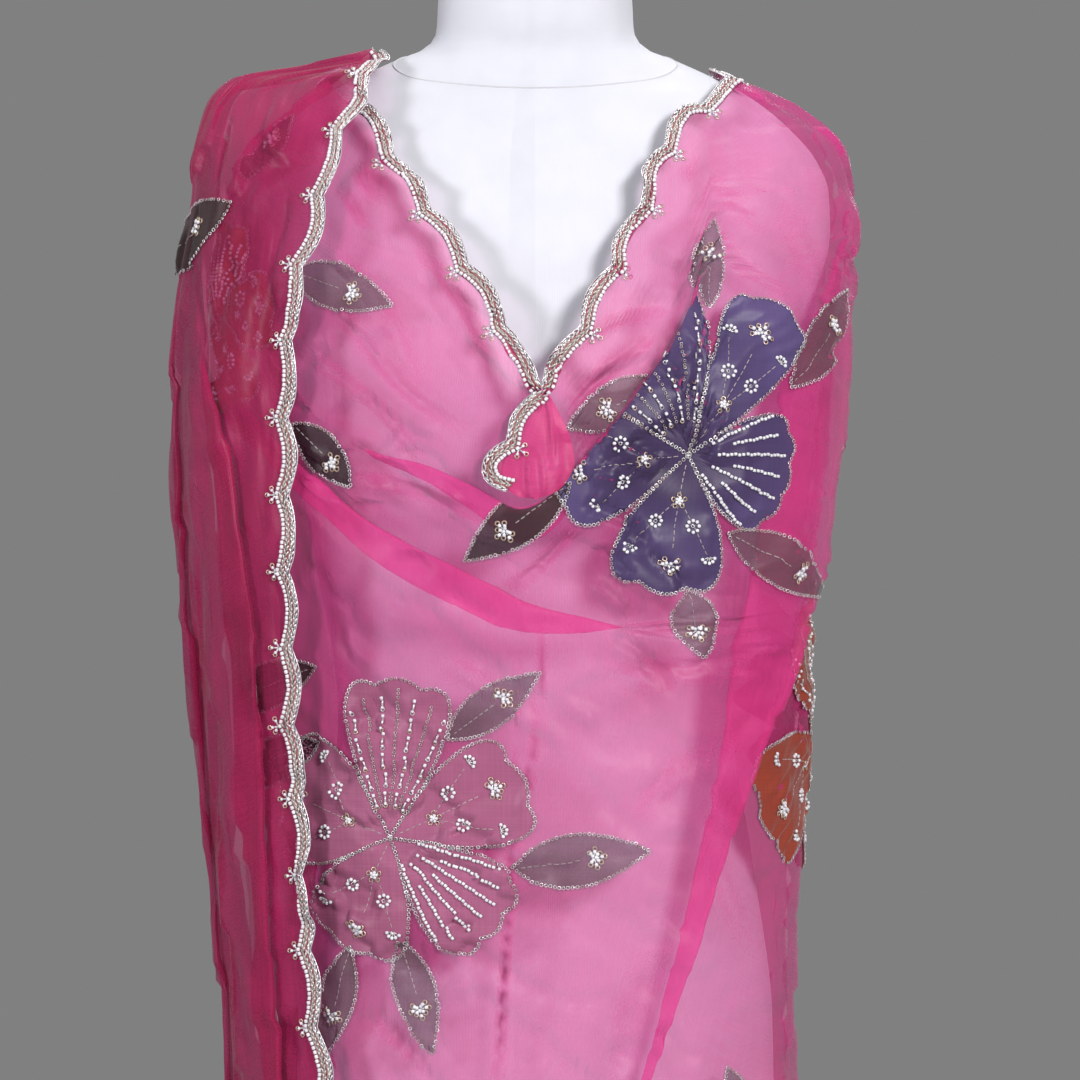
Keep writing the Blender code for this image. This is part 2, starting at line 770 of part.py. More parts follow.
def lowest_share(points):
    """How far along a cloth's top edge its lowest point lies, from 0 to 1."""
    edge = points[:, 0]
    run = np.concatenate([[0], np.cumsum(np.linalg.norm(np.diff(edge, axis=0), axis=1))])
    return run[np.argmin(edge[:, 2])] / run[-1]


def edge_of(points, side):
    """A grid's edge line, the direction into the cloth, and the outward normal along it."""
    normals = grid_normals(points)
    lines = {
        "top": (points[:, 0], points[:, 1] - points[:, 0], normals[:, 0]),
        "hem": (points[:, -1], points[:, -2] - points[:, -1], normals[:, -1]),
        "start": (points[0], points[1] - points[0], normals[0]),
        "end": (points[-1], points[-2] - points[-1], normals[-1]),
    }
    return lines[side]


def dress_form(colour):
    """The body of the form, neck and hips included, as rings from the bottom to the top."""
    heights = ladder(
        [BODY_BOTTOM, 930.0, 1150.0, 1290.0, 1352.0, 1430.0, BODY_TOP],
        (4, 4, 5, 3, 9, 3),
    )
    turn = 2 * math.pi * np.arange(BODY_STEPS_ROUND) / BODY_STEPS_ROUND
    rings = []
    for height in heights:
        sizes = {name: column(BODY_SECTIONS, name, height) for name in ("side", "front", "back", "shift")}
        x = sizes["side"] * signed_power(np.sin(turn), BODY_POWER)
        depth = np.where(np.cos(turn) > 0, sizes["front"], sizes["back"])
        y = -depth * signed_power(np.cos(turn), BODY_POWER)
        level = ((height - BUST_HEIGHT) / BUST_WIDTH) ** 2
        rise = sum(np.exp(-(((x - side * BUST_SPREAD) / BUST_WIDTH) ** 2) - level) for side in (-1, 1))
        y = y - BUST_RISE * rise * (np.cos(turn) > 0.05) + sizes["shift"]
        rings.append(np.stack([x, y, np.full_like(x, height)], axis=1))
    count = BODY_STEPS_ROUND
    faces = [
        [r * count + k, r * count + (k + 1) % count, (r + 1) * count + (k + 1) % count, (r + 1) * count + k]
        for r in range(len(rings) - 1)
        for k in range(count)
    ]
    faces.append(list(range(count))[::-1])
    faces.append([(len(rings) - 1) * count + k for k in range(count)])
    return add_object("form_body", np.concatenate(rings), faces, colour, 0.8, smooth_angle=60)


def turned(name, profile, colour, roughness, metallic, steps=40):
    """A closed solid turned round the upright axis, from (radius, height) points, bottom to top."""
    turn = 2 * math.pi * np.arange(steps) / steps
    vertices = [
        (radius * math.cos(a), radius * math.sin(a), height) for radius, height in profile for a in turn
    ]
    faces = [
        [r * steps + k, r * steps + (k + 1) % steps, (r + 1) * steps + (k + 1) % steps, (r + 1) * steps + k]
        for r in range(len(profile) - 1)
        for k in range(steps)
    ]
    faces.append(list(range(steps))[::-1])
    faces.append([(len(profile) - 1) * steps + k for k in range(steps)])
    return add_object(name, vertices, faces, colour, roughness, metallic)


def stand():
    steel = (0.62, 0.63, 0.66)
    rim, hub, slope = BASE_RADIUS - 2 * BASE_RIM_ROUND, BASE_HUB_RADIUS, BASE_HUB_SLOPE
    dome = [(rim + (hub - rim) * s, BASE_RIM + BASE_DOME * eased(s)) for s in (0.0, 0.35, 0.7, 1.0)]
    profile = [
        (BASE_RADIUS - BASE_RIM_ROUND, 0),
        (BASE_RADIUS, BASE_RIM_ROUND),
        (BASE_RADIUS, BASE_RIM - BASE_RIM_ROUND),
        *dome,
        (hub - slope, BASE_HUB_HEIGHT - slope),
        (hub - 2 * slope, BASE_HUB_HEIGHT),
    ]
    turned("stand_base", profile, steel, 0.3, 1.0, steps=36)
    collar_top = BODY_BOTTOM - TOUCH_GAP
    turned(
        "stand_pole",
        [
            (POLE_RADIUS, BASE_HUB_HEIGHT + TOUCH_GAP),
            (POLE_RADIUS, collar_top - COLLAR_HEIGHT),
            (COLLAR_RADIUS, collar_top - COLLAR_HEIGHT + COLLAR_SLOPE),
            (COLLAR_RADIUS, collar_top),
        ],
        steel,
        0.25,
        1.0,
        steps=24,
    )


def main():
    for old in list(bpy.data.objects):
        bpy.data.objects.remove(old)
    pink, deep_pink = (0.80, 0.10, 0.32), (0.55, 0.03, 0.16)
    silver = (0.75, 0.66, 0.62)
    dress_form((0.86, 0.86, 0.88))
    stand()
    front, back, fall, tail = front_surface(), back_surface(), fall_surface(), tail_surface()
    tuck = tuck_surface()
    cloth("front_stretch", front, pink)
    cloth("back_stretch", back, pink)
    cloth("right_fall", fall, deep_pink)
    cloth("back_tail", tail, pink)
    cloth("neck_tuck", tuck, pink)
    start, middle, end = 0.14, lowest_share(front), 1.0
    for name, points, side, part, trim, gap in (
        ("border_neck_right", front, "top", (start, middle), 4, BORDER_GAP),
        ("border_neck_left", front, "top", (middle, end), 4, BORDER_GAP),
        ("border_neck_back", back, "top", (0, 1), 3, BORDER_GAP),
        ("border_tuck", tuck, "start", (0.1, 0.85), 0, TUCK_BORDER_GAP),
        ("border_fall_edge", fall, "end", (0, 1), 1, BORDER_GAP),
        ("border_hem_front", front, "hem", (0, 1), 1, BORDER_GAP),
        ("border_hem_back", back, "hem", (0, 1), 1, BORDER_GAP),
    ):
        border(name, points, side, silver, part, trim, gap)


main()
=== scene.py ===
"""The looks of a sheer dupatta stole wound round a limbless dress form on a stand.

Sizes are in millimetres and MM turns them into metres. The cloth's surfaces are worked out by the
same rules as the solids': a place on the ring that the cloth hangs on is an angle in degrees, from 0
at the front over 90 at the form's left and 180 at the back, and a height. Each stretch is a fine
single sheet here, and its border, applique and beadwork are laid on it.
"""

import math

import bmesh
import bpy
import numpy as np
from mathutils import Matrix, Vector
from mathutils.bvhtree import BVHTree


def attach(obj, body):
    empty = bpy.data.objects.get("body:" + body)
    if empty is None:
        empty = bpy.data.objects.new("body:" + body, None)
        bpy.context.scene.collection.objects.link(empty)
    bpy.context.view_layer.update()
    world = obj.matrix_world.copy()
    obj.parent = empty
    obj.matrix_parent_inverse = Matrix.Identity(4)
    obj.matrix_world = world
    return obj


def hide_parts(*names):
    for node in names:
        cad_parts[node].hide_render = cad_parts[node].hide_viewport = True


MM = 0.001

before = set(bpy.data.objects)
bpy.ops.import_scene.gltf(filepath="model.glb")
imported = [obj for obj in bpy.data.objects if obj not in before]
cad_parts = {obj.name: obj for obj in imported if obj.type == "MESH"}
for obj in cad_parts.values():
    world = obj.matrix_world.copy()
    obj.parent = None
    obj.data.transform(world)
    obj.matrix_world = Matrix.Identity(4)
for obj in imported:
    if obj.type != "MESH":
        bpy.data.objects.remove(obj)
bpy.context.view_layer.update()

# Cloth
INNER_LIFT = 3.0
SHOULDER_FOOT = 1330.0
HANG_FOOT = 712.0
SHOULDER_LIFT = 7.0
OVER_LIFT = 16.0

# Scalloped border
SCALLOP_PITCH = 46.0
SCALLOP_DEPTH = 5.5
BORDER_OUTSIDE = 1.5

# Dress form
BODY_TOP = 1492.0
BODY_BOTTOM = 660.0
BODY_STEPS_ROUND = 100

# Cross sections are superellipses of these powers
DRAPE_POWER = 2.3
BODY_POWER = 2.25


def table(names, *rows):
    """A short table with named columns, as a dictionary of arrays."""
    return dict(zip(names.split(), np.array(rows, float).T))


def rows_of(rows):
    """A table's rows, each as a dictionary by column."""
    return [dict(zip(rows, values)) for values in zip(*rows.values())]


# What the cloth hangs on: the reach of its rings from the upright axis at each height.
# left_side is the form's left, right_side its right, and right_bundle its right under the outer layers.
DRAPE_SECTIONS = table(
    "height left_side right_side right_bundle front back",
    (430, 168, 152, 157, 118, 122), (600, 164, 152, 159, 113, 118), (750, 160, 154, 163, 108, 116),
    (850, 159, 157, 171, 107, 112), (950, 162, 164, 181, 108, 104), (1040, 166.5, 171, 189, 111, 98),
    (1110, 169, 177, 195, 115, 98), (1190, 179.5, 187, 201, 118, 101),
    (1240, 182.5, 192, 203, 115, 102), (1290, 184, 195, 202, 101, 100), (1335, 192, 192, 198, 84, 93),
    (1366, 187, 177, 196, 68, 84), (1391, 161, 150, 194, 53, 72), (1402, 138, 133, 188, 46, 65),
    (1411, 118, 116, 146, 41, 58), (1421, 92, 95, 95, 36, 50), (1428, 76, 78, 78, 33, 46),
    (1442, 64, 64, 64, 30, 44),
)

# The dress form inside: its own reach at each height, and how far back each section sits.
BODY_SECTIONS = table(
    "height side front back shift",
    (660, 146, 92, 104, 0), (760, 148, 94, 108, 0), (830, 147, 92, 104, 0), (930, 134, 84, 88, 0),
    (1016, 122, 78, 76, 0), (1110, 136, 84, 82, 0), (1200, 156, 92, 90, 0), (1270, 174, 84, 90, 0),
    (1320, 183, 70, 84, 0), (1343, 182, 60, 76, 0), (1362, 174.5, 52, 69, 0), (1384, 155.4, 42, 60, 0),
    (1400, 135.4, 36, 54, 0), (1412, 114, 32, 48, 1), (1424, 88, 31, 43, 2), (1433, 67, 33, 41, 3),
    (1443, 61.5, 38, 40, 3), (1461, 60.5, 41, 40, 3), (1480, 58, 41, 41, 2), (1492, 54, 38, 38, 2),
)
BUST_SPREAD = 76.0
BUST_HEIGHT = 1228.0
BUST_RISE = 14.0
BUST_WIDTH = 46.0

# The neckline of the stretch across the front, from the form's right to its left.
NECKLINE = table(
    "across height",
    (-123, 1411), (-103, 1389), (-85, 1355), (-66, 1328), (-50, 1303), (-34, 1279), (-18, 1251),
    (-5, 1225), (3, 1216), (11, 1226), (30, 1256), (45, 1287), (60, 1317), (76, 1359), (95, 1387),
    (116, 1411),
)

# The neckline over the shoulders and across the back, by angle.
BACK_NECKLINE = table(
    "angle height",
    (86, 1411), (105, 1413), (125, 1408), (150, 1398), (180, 1391), (210, 1398), (235, 1410),
    (250, 1417), (270, 1421),
)

# The front folds that run with the neckline. Each has its own fold edge at the top.
NECK_FOLD = table(
    "across height",
    (-190, 1262), (-150, 1214), (-95, 1177), (-64, 1166), (-35, 1150), (-8, 1135), (4, 1139),
    (32, 1169), (63, 1208), (89, 1251), (104, 1300), (150, 1290), (190, 1275),
)
COWL_FOLD = table(
    "across height",
    (-190, 1215), (-160, 1186), (-138, 1163), (-121, 1148), (-100, 1130), (-75, 1114), (-48, 1100),
    (-22, 1087), (-2, 1080), (29, 1076), (99, 1073), (135, 1090), (160, 1114), (190, 1150),
)
# How strongly each fold doubles over, by the distance across: 1 is a full fold and 0 is none.
NECK_FOLD_STRENGTH = table(
    "across strength",
    (-118, 0), (-96, 0.48), (-64, 0.62), (-35, 0.79), (-8, 0.95), (63, 0.95), (89, 0.82), (98, 0.57),
    (107, 0),
)
COWL_FOLD_STRENGTH = table(
    "across strength",
    (-200, 0.75), (-138, 0.79), (-75, 0.83), (-22, 0.83), (-2, 0.7), (29, 0.55), (51, 0.36), (75, 0.2),
    (130, 0),
)
# Each fold's flat width, how far it lifts the cloth, and how soon the cloth settles again beyond it.
NECK_FOLD_SPAN, NECK_FOLD_DEPTH, NECK_FOLD_SETTLE = 44.0, 7.5, 34.0
COWL_FOLD_SPAN, COWL_FOLD_DEPTH, COWL_FOLD_SETTLE = 60.0, 8.5, 90.0

# The fold that falls from the form's left shoulder towards the middle of the hem.
SHOULDER_FOLD = table(
    "height angle span strength",
    (430, -4, 24, 0), (560, 0, 24, 0.1), (712, 9, 24, 0.36), (803, 21, 26, 0.46), (880, 30, 30, 0.55),
    (951, 38, 28, 0.66), (1005, 44.5, 30, 0.8), (1065, 52.6, 42, 0.95), (1126, 64, 65, 0.95),
    (1221, 68, 68, 0.95), (1273, 79, 48, 0.89), (1318, 88, 30, 0.45), (1345, 91, 24, 0),
    (1440, 91, 24, 0),
)
SHOULDER_FOLD_DEPTH, SHOULDER_FOLD_SETTLE = 12.0, 14.0

# Where each stretch starts and ends, in degrees, with a seam's gap between neighbours.
FRONT_SPAN = (-99.8, 104.8)
BACK_SPAN = (105.2, 249.8)
FALL_SPAN = (-90.0, -109.8)
TAIL_SPAN = (190.0, 259.8)

# Hem heights by angle, for each stretch.
FRONT_HEM = table(
    "angle height", (-104, 556), (-60, 520), (-20, 462), (0, 440), (30, 456), (70, 516), (106, 552)
)
BACK_HEM = table("angle height", (104, 552), (140, 520), (180, 500), (215, 520), (251, 545))
FALL_HEM = table("angle height", (-111, 545), (-90, 520), (-60, 486), (-30, 470))
TAIL_HEM = table("angle height", (185, 622), (220, 610), (262, 606))

# The free edge of the fall in front of the right shoulder.
FALL_EDGE = table(
    "height across",
    (430, -80), (520, -88), (600, -98), (700, -109), (802, -119), (850, -125), (922, -131), (994, -136),
    (1066, -139), (1198, -142), (1258, -139), (1285, -134), (1313, -126), (1344, -121), (1375, -112),
    (1401, -102), (1421, -93),
)
FALL_FOLDS = (
    table(
        "height angle strength",
        (430, -61, 0.6), (900, -58, 0.8), (1050, -57, 0.95), (1180, -60, 0.82), (1250, -66, 0.3),
        (1320, -72, 0), (1430, -80, 0),
    ),
    table(
        "height angle strength",
        (430, -86, 0.7), (900, -87, 0.82), (1060, -86, 0.95), (1180, -82, 0.75), (1250, -84, 0.3),
        (1330, -88, 0), (1430, -94, 0),
    ),
)
FALL_FOLD_SPAN, FALL_FOLD_DEPTH, FALL_FOLD_SETTLE = 72.0, 9.0, 12.0

# A full fold in section: where the flat cloth's points end up, as shares of its span and depth.
FOLD_PROFILE = table(
    "flat lies lift",
    (-0.5, -0.5, 0), (-0.33, -0.13, 0), (-0.2, 0.24, 0), (-0.178, 0.27, 0.125), (-0.155, 0.27, 0.375),
    (-0.133, 0.24, 0.5), (0, 0, 0.5), (0.133, -0.24, 0.5), (0.155, -0.27, 0.625), (0.178, -0.27, 0.875),
    (0.2, -0.24, 1), (0.33, 0.13, 1), (0.5, 0.5, 1),
)
# How many steps each stretch of that profile gets.
FOLD_STEPS = (4, 4, 2, 2, 2, 4, 4, 2, 2, 2, 4, 4)

# Soft hanging ridges on the back: where each lies, how wide and high it is, and where it fades.
BACK_RIDGES = table(
    "angle_top angle_foot width rise fades_above",
    (112, 116, 6, 7, 1330), (126, 134, 6.5, 11, 1345), (143, 152, 6.5, 12, 1320),
    (160, 169, 7, 10, 1290), (178, 184, 7, 12, 1310), (196, 199, 6.5, 10, 1330),
    (213, 215, 6.5, 12, 1345), (230, 232, 6, 9, 1360),
)

# The small flap of cloth that doubles over at the bottom of the V: its two edges, top to bottom.
TUCK_EDGES = table(
    "left height_left right height_right",
    (2, 1213, 9, 1211), (-3, 1204, 14, 1201), (-15, 1185, 21, 1185), (-23, 1173, 23, 1173),
    (-24, 1167, 20, 1164), (-18, 1158, 12, 1155), (-9, 1152, 1, 1151),
)
TUCK_LIFT_TOP, TUCK_LIFT_FOOT = 8.4, 16.0
TUCK_STEPS_ACROSS, TUCK_STEPS_DOWN = 24, 30

# Where the outer layers of the back start and how soon they reach their full lift, in degrees.
OVER_START, OVER_SPREAD = 130, 75
# The height where the outer layer leaves the shoulder, and how far down it settles.
SHOULDER_CREST, SHOULDER_SETTLE = 1424, 70
RIDGE_FADE = 260
TAIL_BELOW_NECK, TAIL_RIPPLES, TAIL_RIPPLE_TOP, TAIL_RIPPLE_FADE = 9, 14, 1330, 200
# The least gaps between the front's edge, its two folds and the cloth between them.
NECK_GAP, NECK_FOLD_GAP, COWL_GAP = 14, 20, 6
# How far round the creases reach, and how many millimetres a degree counts for small waves.
FRONT_CREASE_END, FALL_CREASE_END = 88, 90
WAVE_PER_DEGREE = 2.2
# Places that depend on each other are found in rounds, from a first guess of the height.
LINE_GUESS, LINE_ROUNDS = 1150.0, 12
FRONT_GUESS, FRONT_ROUNDS = 1200.0, 16
FALL_GUESS, FALL_ROUNDS = 1100.0, 14


def smooth_along(x, xs, ys):
    """A smooth curve through a table's points that doesn't overshoot them, read at x."""
    order = np.argsort(xs)
    xs, ys = xs[order], ys[order]
    gap = np.diff(xs)
    rise = np.diff(ys) / gap
    slope = np.zeros_like(ys)
    same_way = rise[:-1] * rise[1:] > 0
    both = rise[:-1] + rise[1:]
    slope[1:-1] = np.where(same_way, 2 * rise[:-1] * rise[1:] / np.where(both == 0, 1, both), 0)
    slope[0], slope[-1] = rise[0], rise[-1]
    x = np.clip(np.asarray(x, float), xs[0], xs[-1])
    i = np.clip(np.searchsorted(xs, x) - 1, 0, len(gap) - 1)
    h = gap[i]
    s = (x - xs[i]) / h
    return (
        ys[i] * (1 + 2 * s) * (1 - s) ** 2
        + ys[i + 1] * s**2 * (3 - 2 * s)
        + h * slope[i] * s * (1 - s) ** 2
        - h * slope[i + 1] * s**2 * (1 - s)
    )


def column(rows, name, at, key="height"):
    return smooth_along(at, rows[key], rows[name])


DENSE_HEIGHTS = np.arange(400.0, 1460.0)
DENSE_SIZES = {name: column(DRAPE_SECTIONS, name, DENSE_HEIGHTS) for name in DRAPE_SECTIONS}


def drape_size(name, height):
    """One of the drape ring's sizes at a height, from a dense table that is quick to read."""
    return np.interp(height, DENSE_HEIGHTS, DENSE_SIZES[name])


def eased(share):
    share = np.clip(share, 0, 1)
    return share * share * (3 - 2 * share)


def signed_power(value, power):
    return np.sign(value) * np.abs(value) ** (2 / power)


def right_reach(height, bundle):
    """The ring's reach on the form's right, between its bare and its bundled one."""
    right = drape_size("right_side", height)
    return right + bundle * (drape_size("right_bundle", height) - right)


def drape_ring(angle, height, bundle):
    """A point on the ring that the cloth hangs on. bundle is 1 where the outer layers spread it."""
    turn = np.radians(angle)
    side, ahead = np.sin(turn), np.cos(turn)
    reach = np.where(side > 0, drape_size("left_side", height), right_reach(height, bundle))
    depth = np.where(ahead > 0, drape_size("front", height), drape_size("back", height))
    x = reach * signed_power(side, DRAPE_POWER)
    y = -depth * signed_power(ahead, DRAPE_POWER)
    return np.stack([x, y, height + 0 * x], axis=-1)


def on_drape(angle, height, lift, bundle=0.0):
    """A point lifted off the drape ring along the surface's own normal."""
    step_angle, step_height = 1.0, 2.0
    angle, height = np.broadcast_arrays(np.asarray(angle, float), np.asarray(height, float))
    along = drape_ring(angle + step_angle, height, bundle) - drape_ring(angle - step_angle, height, bundle)
    up = drape_ring(angle, height + step_height, bundle) - drape_ring(angle, height - step_height, bundle)
    normal = np.cross(along, up)
    return drape_ring(angle, height, bundle) + unit(normal) * np.asarray(lift)[..., None]


def angle_at(across, height, bundle=0.0):
    """The angle on the front of the ring at this distance across."""
    reach = np.where(across > 0, drape_size("left_side", height), right_reach(height, bundle))
    share = np.clip(np.abs(across) / reach, 0, 1)
    return np.sign(across) * np.degrees(np.arcsin(share ** (DRAPE_POWER / 2)))


def across_at(angle, height):
    return drape_ring(angle, height, 0.0)[..., 0]


def folded(offset, span, strength):
    """Where a strip of cloth lies once it doubles over: it goes forward, back and forward again."""
    place = offset / span
    lies = column(FOLD_PROFILE, "lies", place, key="flat")
    return np.where(np.abs(place) < 0.5, offset + strength * (lies * span - offset), offset)


def fold_lift(offset, span, depth, strength, decay):
    """The height of the cloth through a fold, outermost at positive offsets, settling beyond it."""
    rise = column(FOLD_PROFILE, "lift", offset / span, key="flat")
    beyond = np.maximum(offset - span / 2, 0)
    return depth * np.sqrt(strength) * rise * np.exp(-beyond / decay)


def strength_at(rows, across):
    """How strongly a front fold doubles over at this distance across."""
    return np.interp(across, rows["across"], rows["strength"], 0, 0)


def neckline_height(angle):
    """The height of the upper edge of the front stretch, over both shoulders."""
    front = angle_at(NECKLINE["across"], NECKLINE["height"])
    angles = np.concatenate([[-104, -92], front[1:-1], [86, 96, 106]])
    heights = np.concatenate([[1409, 1408], NECKLINE["height"][1:-1], [1411, 1413, 1413]])
    return smooth_along(angle, angles, heights)


def height_on(rows, angle):
    """The height of a front fold line at this angle."""
    height = np.full(np.shape(angle), LINE_GUESS)
    for _ in range(LINE_ROUNDS):
        height = smooth_along(across_at(angle, height), rows["across"], rows["height"])
    return height


def back_ridges(angle, height):
    """How far the soft ridges on the back stand out."""
    low, high = DRAPE_SECTIONS["height"][0], BACK_NECKLINE["height"].max()
    down = (high - height) / (high - low)
    total = 0.0
    for ridge in rows_of(BACK_RIDGES):
        middle = ridge["angle_top"] + (ridge["angle_foot"] - ridge["angle_top"]) * down
        reach = eased((ridge["fades_above"] - height) / RIDGE_FADE)
        total = total + ridge["rise"] * reach * np.exp(-(((angle - middle) / ridge["width"]) ** 2))
    return total


def between(stops, seats):
    """The place of each seat between numbered stops: 1.5 is halfway from the second to the third."""
    shape = np.broadcast_shapes(np.shape(seats), *(np.shape(stop) for stop in stops))
    stops = [np.broadcast_to(stop, shape) for stop in stops]
    seats = np.broadcast_to(seats, shape)
    below = np.clip(np.floor(seats).astype(int), 0, len(stops) - 2)
    low, high = np.choose(below, stops), np.choose(below + 1, stops)
    return low + (high - low) * (seats - below)


def ladder(stops, counts):
    """Stops joined by evenly spaced steps, count by count."""
    parts = [np.linspace(a, b, n, endpoint=False) for a, b, n in zip(stops[:-1], stops[1:], counts)]
    return np.concatenate([*parts, [stops[-1]]])


FOLD = ladder(FOLD_PROFILE["flat"], FOLD_STEPS)


def seats_for(*stretches):
    """Seats for numbered stretches: a count gives even steps, and a list of a fold's places gives those."""
    parts = []
    for number, stretch in enumerate(stretches):
        steps = np.arange(stretch) / stretch if isinstance(stretch, int) else stretch[:-1] + 0.5
        parts.append(number + steps)
    return np.concatenate([*parts, [len(stretches)]])


def front_places():
    """Angle and height of the front stretch's grid before it is folded, columns by rows."""
    seats = seats_for(150, 12, FOLD, 12)[:, None]
    shares = seats_for(44, FOLD, 26, FOLD, 72, 18)
    start, end = FRONT_SPAN
    height = np.full((len(seats), len(shares)), FRONT_GUESS)
    for _ in range(FRONT_ROUNDS):
        fold = column(SHOULDER_FOLD, "angle", height)
        half = column(SHOULDER_FOLD, "span", height) / 2
        before, after = fold - half, np.minimum(fold + half, end - 1)
        angle = between([start, np.minimum(before - 3, 26), before, after, end], seats)
        neck_fold = height_on(NECK_FOLD, angle)
        cowl = height_on(COWL_FOLD, angle)
        stops = [
            neckline_height(angle),
            neck_fold + NECK_FOLD_SPAN / 2,
            neck_fold - NECK_FOLD_SPAN / 2,
            cowl + COWL_FOLD_SPAN / 2,
            cowl - COWL_FOLD_SPAN / 2,
            HANG_FOOT,
            column(FRONT_HEM, "height", angle, key="angle"),
        ]
        stops[1] = np.minimum(stops[1], stops[0] - NECK_GAP)
        stops[2] = np.minimum(stops[2], stops[1] - NECK_FOLD_GAP)
        stops[3] = np.minimum(stops[3], stops[2] - COWL_GAP)
        new = between(stops, shares)
        height = 0.5 * height + 0.5 * new
    return angle, new


def fold_front(angle, height):
    """Angle, height and lift of the front stretch after its three folds."""
    across = across_at(angle, height)
    neck_line, cowl_line = height_on(NECK_FOLD, angle), height_on(COWL_FOLD, angle)
    neck_strength = np.where(np.abs(angle) > 90, 0, strength_at(NECK_FOLD_STRENGTH, across))
    cowl_strength = np.where(angle > 90, 0, strength_at(COWL_FOLD_STRENGTH, across))
    lift, new_height = INNER_LIFT, height
    for line, strength, span, depth, settle in (
        (neck_line, neck_strength, NECK_FOLD_SPAN, NECK_FOLD_DEPTH, NECK_FOLD_SETTLE),
        (cowl_line, cowl_strength, COWL_FOLD_SPAN, COWL_FOLD_DEPTH, COWL_FOLD_SETTLE),
    ):
        below = line - height
        lift = lift + fold_lift(below, span, depth, strength, settle)
        new_height = np.where(np.abs(below) < span / 2, line - folded(below, span, strength), new_height)
    span = column(SHOULDER_FOLD, "span", height)
    strength = column(SHOULDER_FOLD, "strength", height)
    beyond = angle - column(SHOULDER_FOLD, "angle", height)
    lift = lift + fold_lift(-beyond, span, SHOULDER_FOLD_DEPTH, strength, SHOULDER_FOLD_SETTLE)
    new_angle = angle - beyond + folded(beyond, span, strength)
    return new_angle, new_height, lift


def front_surface():
    angle, height, lift = fold_front(*front_places())
    across = across_at(angle, height)
    lift = lift + crease_lift(FRONT_CREASES, across, height) * (np.abs(angle) < FRONT_CREASE_END)
    points = on_drape(angle, height, lift + crumple(angle * WAVE_PER_DEGREE, height, seed=3))
    return points, crease_density_and_shade_at(FRONT_CREASES, across, height)


def over_lift(height):
    """How far off its ring the outer layer of cloth lies. It comes close at the top of the shoulder."""
    return SHOULDER_LIFT + (OVER_LIFT - SHOULDER_LIFT) * eased((SHOULDER_CREST - height) / SHOULDER_SETTLE)


def back_surface(columns=120, rows=(20, 60)):
    angle = np.linspace(*BACK_SPAN, columns + 1)[:, None]
    top = column(BACK_NECKLINE, "height", angle, key="angle")
    hem = column(BACK_HEM, "height", angle, key="angle")
    height = between([top, SHOULDER_FOOT, hem], seats_for(*rows))
    angle = angle + 0 * height
    over = eased((angle - OVER_START) / OVER_SPREAD)
    lift = INNER_LIFT + (over_lift(height) - INNER_LIFT) * over + back_ridges(angle, height)
    lift = lift + over * fold_fall(angle - 360, height)[1]
    return on_drape(angle, height, lift + crumple(angle * WAVE_PER_DEGREE, height, seed=4), bundle=over)


def fold_fall(angle, height):
    """Angle and extra lift of the fall after its two hanging folds."""
    reach = math.radians(1) * drape_size("right_bundle", height)
    span = FALL_FOLD_SPAN / reach
    new_angle, lift = angle, 0.0
    for fold in FALL_FOLDS:
        strength = column(fold, "strength", height)
        line = column(fold, "angle", height)
        beyond = line - angle
        lift = lift + fold_lift(beyond, span, FALL_FOLD_DEPTH, strength, FALL_FOLD_SETTLE)
        inside = np.abs(beyond) < span / 2
        new_angle = np.where(inside, line - folded(beyond, span, strength), new_angle)
    return new_angle, lift


def fall_surface(rows=(40, 120)):
    """The end that hangs in front of the right shoulder, doubled into two hanging folds."""
    seats = seats_for(24, FOLD, 8, FOLD, 8)[::-1, None]
    shares = seats_for(*rows)
    start, end = FALL_SPAN
    height = np.full((len(seats), len(shares)), FALL_GUESS)
    for _ in range(FALL_ROUNDS):
        reach = drape_size("right_bundle", height)
        half = FALL_FOLD_SPAN / 2 / (math.radians(1) * reach)
        edge = angle_at(column(FALL_EDGE, "across", height), height, bundle=1.0)
        first = column(FALL_FOLDS[0], "angle", height)
        second = column(FALL_FOLDS[1], "angle", height)
        stops = [edge, first + half, first - half, second + half, second - half, end + 0 * edge]
        for k in range(1, 5):
            stops[k] = np.minimum(stops[k], stops[k - 1] - 0.5)
        for k in (4, 3, 2, 1):
            stops[k] = np.maximum(stops[k], stops[k + 1] + 0.5)
        angle = between(stops, seats)
        top = column(BACK_NECKLINE, "height", np.where(angle < start, angle + 360, 270), key="angle")
        hem = column(FALL_HEM, "height", angle, key="angle")
        height = between([top, SHOULDER_FOOT, hem], shares)
    angle, lift = fold_fall(angle, height)
    across = drape_ring(angle, height, 1.0)[..., 0]
    lift = lift + crease_lift(FALL_CREASES, across, height) * (np.abs(angle) < FALL_CREASE_END)
    lift = lift + crumple(angle * WAVE_PER_DEGREE, height, seed=5) + over_lift(height)
    points = on_drape(angle, height, lift, bundle=1.0)
    return points, crease_density_and_shade_at(FALL_CREASES, across, height)


def tail_surface(columns=40, rows=(12, 24)):
    angle = np.linspace(*TAIL_SPAN, columns + 1)[:, None]
    top = column(BACK_NECKLINE, "height", angle, key="angle") - TAIL_BELOW_NECK
    hem = column(TAIL_HEM, "height", angle, key="angle")
    height = between([top, SHOULDER_FOOT, hem], seats_for(*rows))
    fade = eased((TAIL_RIPPLE_TOP - height) / TAIL_RIPPLE_FADE)
    ripple = 2.0 * (1 + np.sin(np.radians(angle * TAIL_RIPPLES))) * fade
    return on_drape(angle + 0 * height, height, INNER_LIFT + ripple)


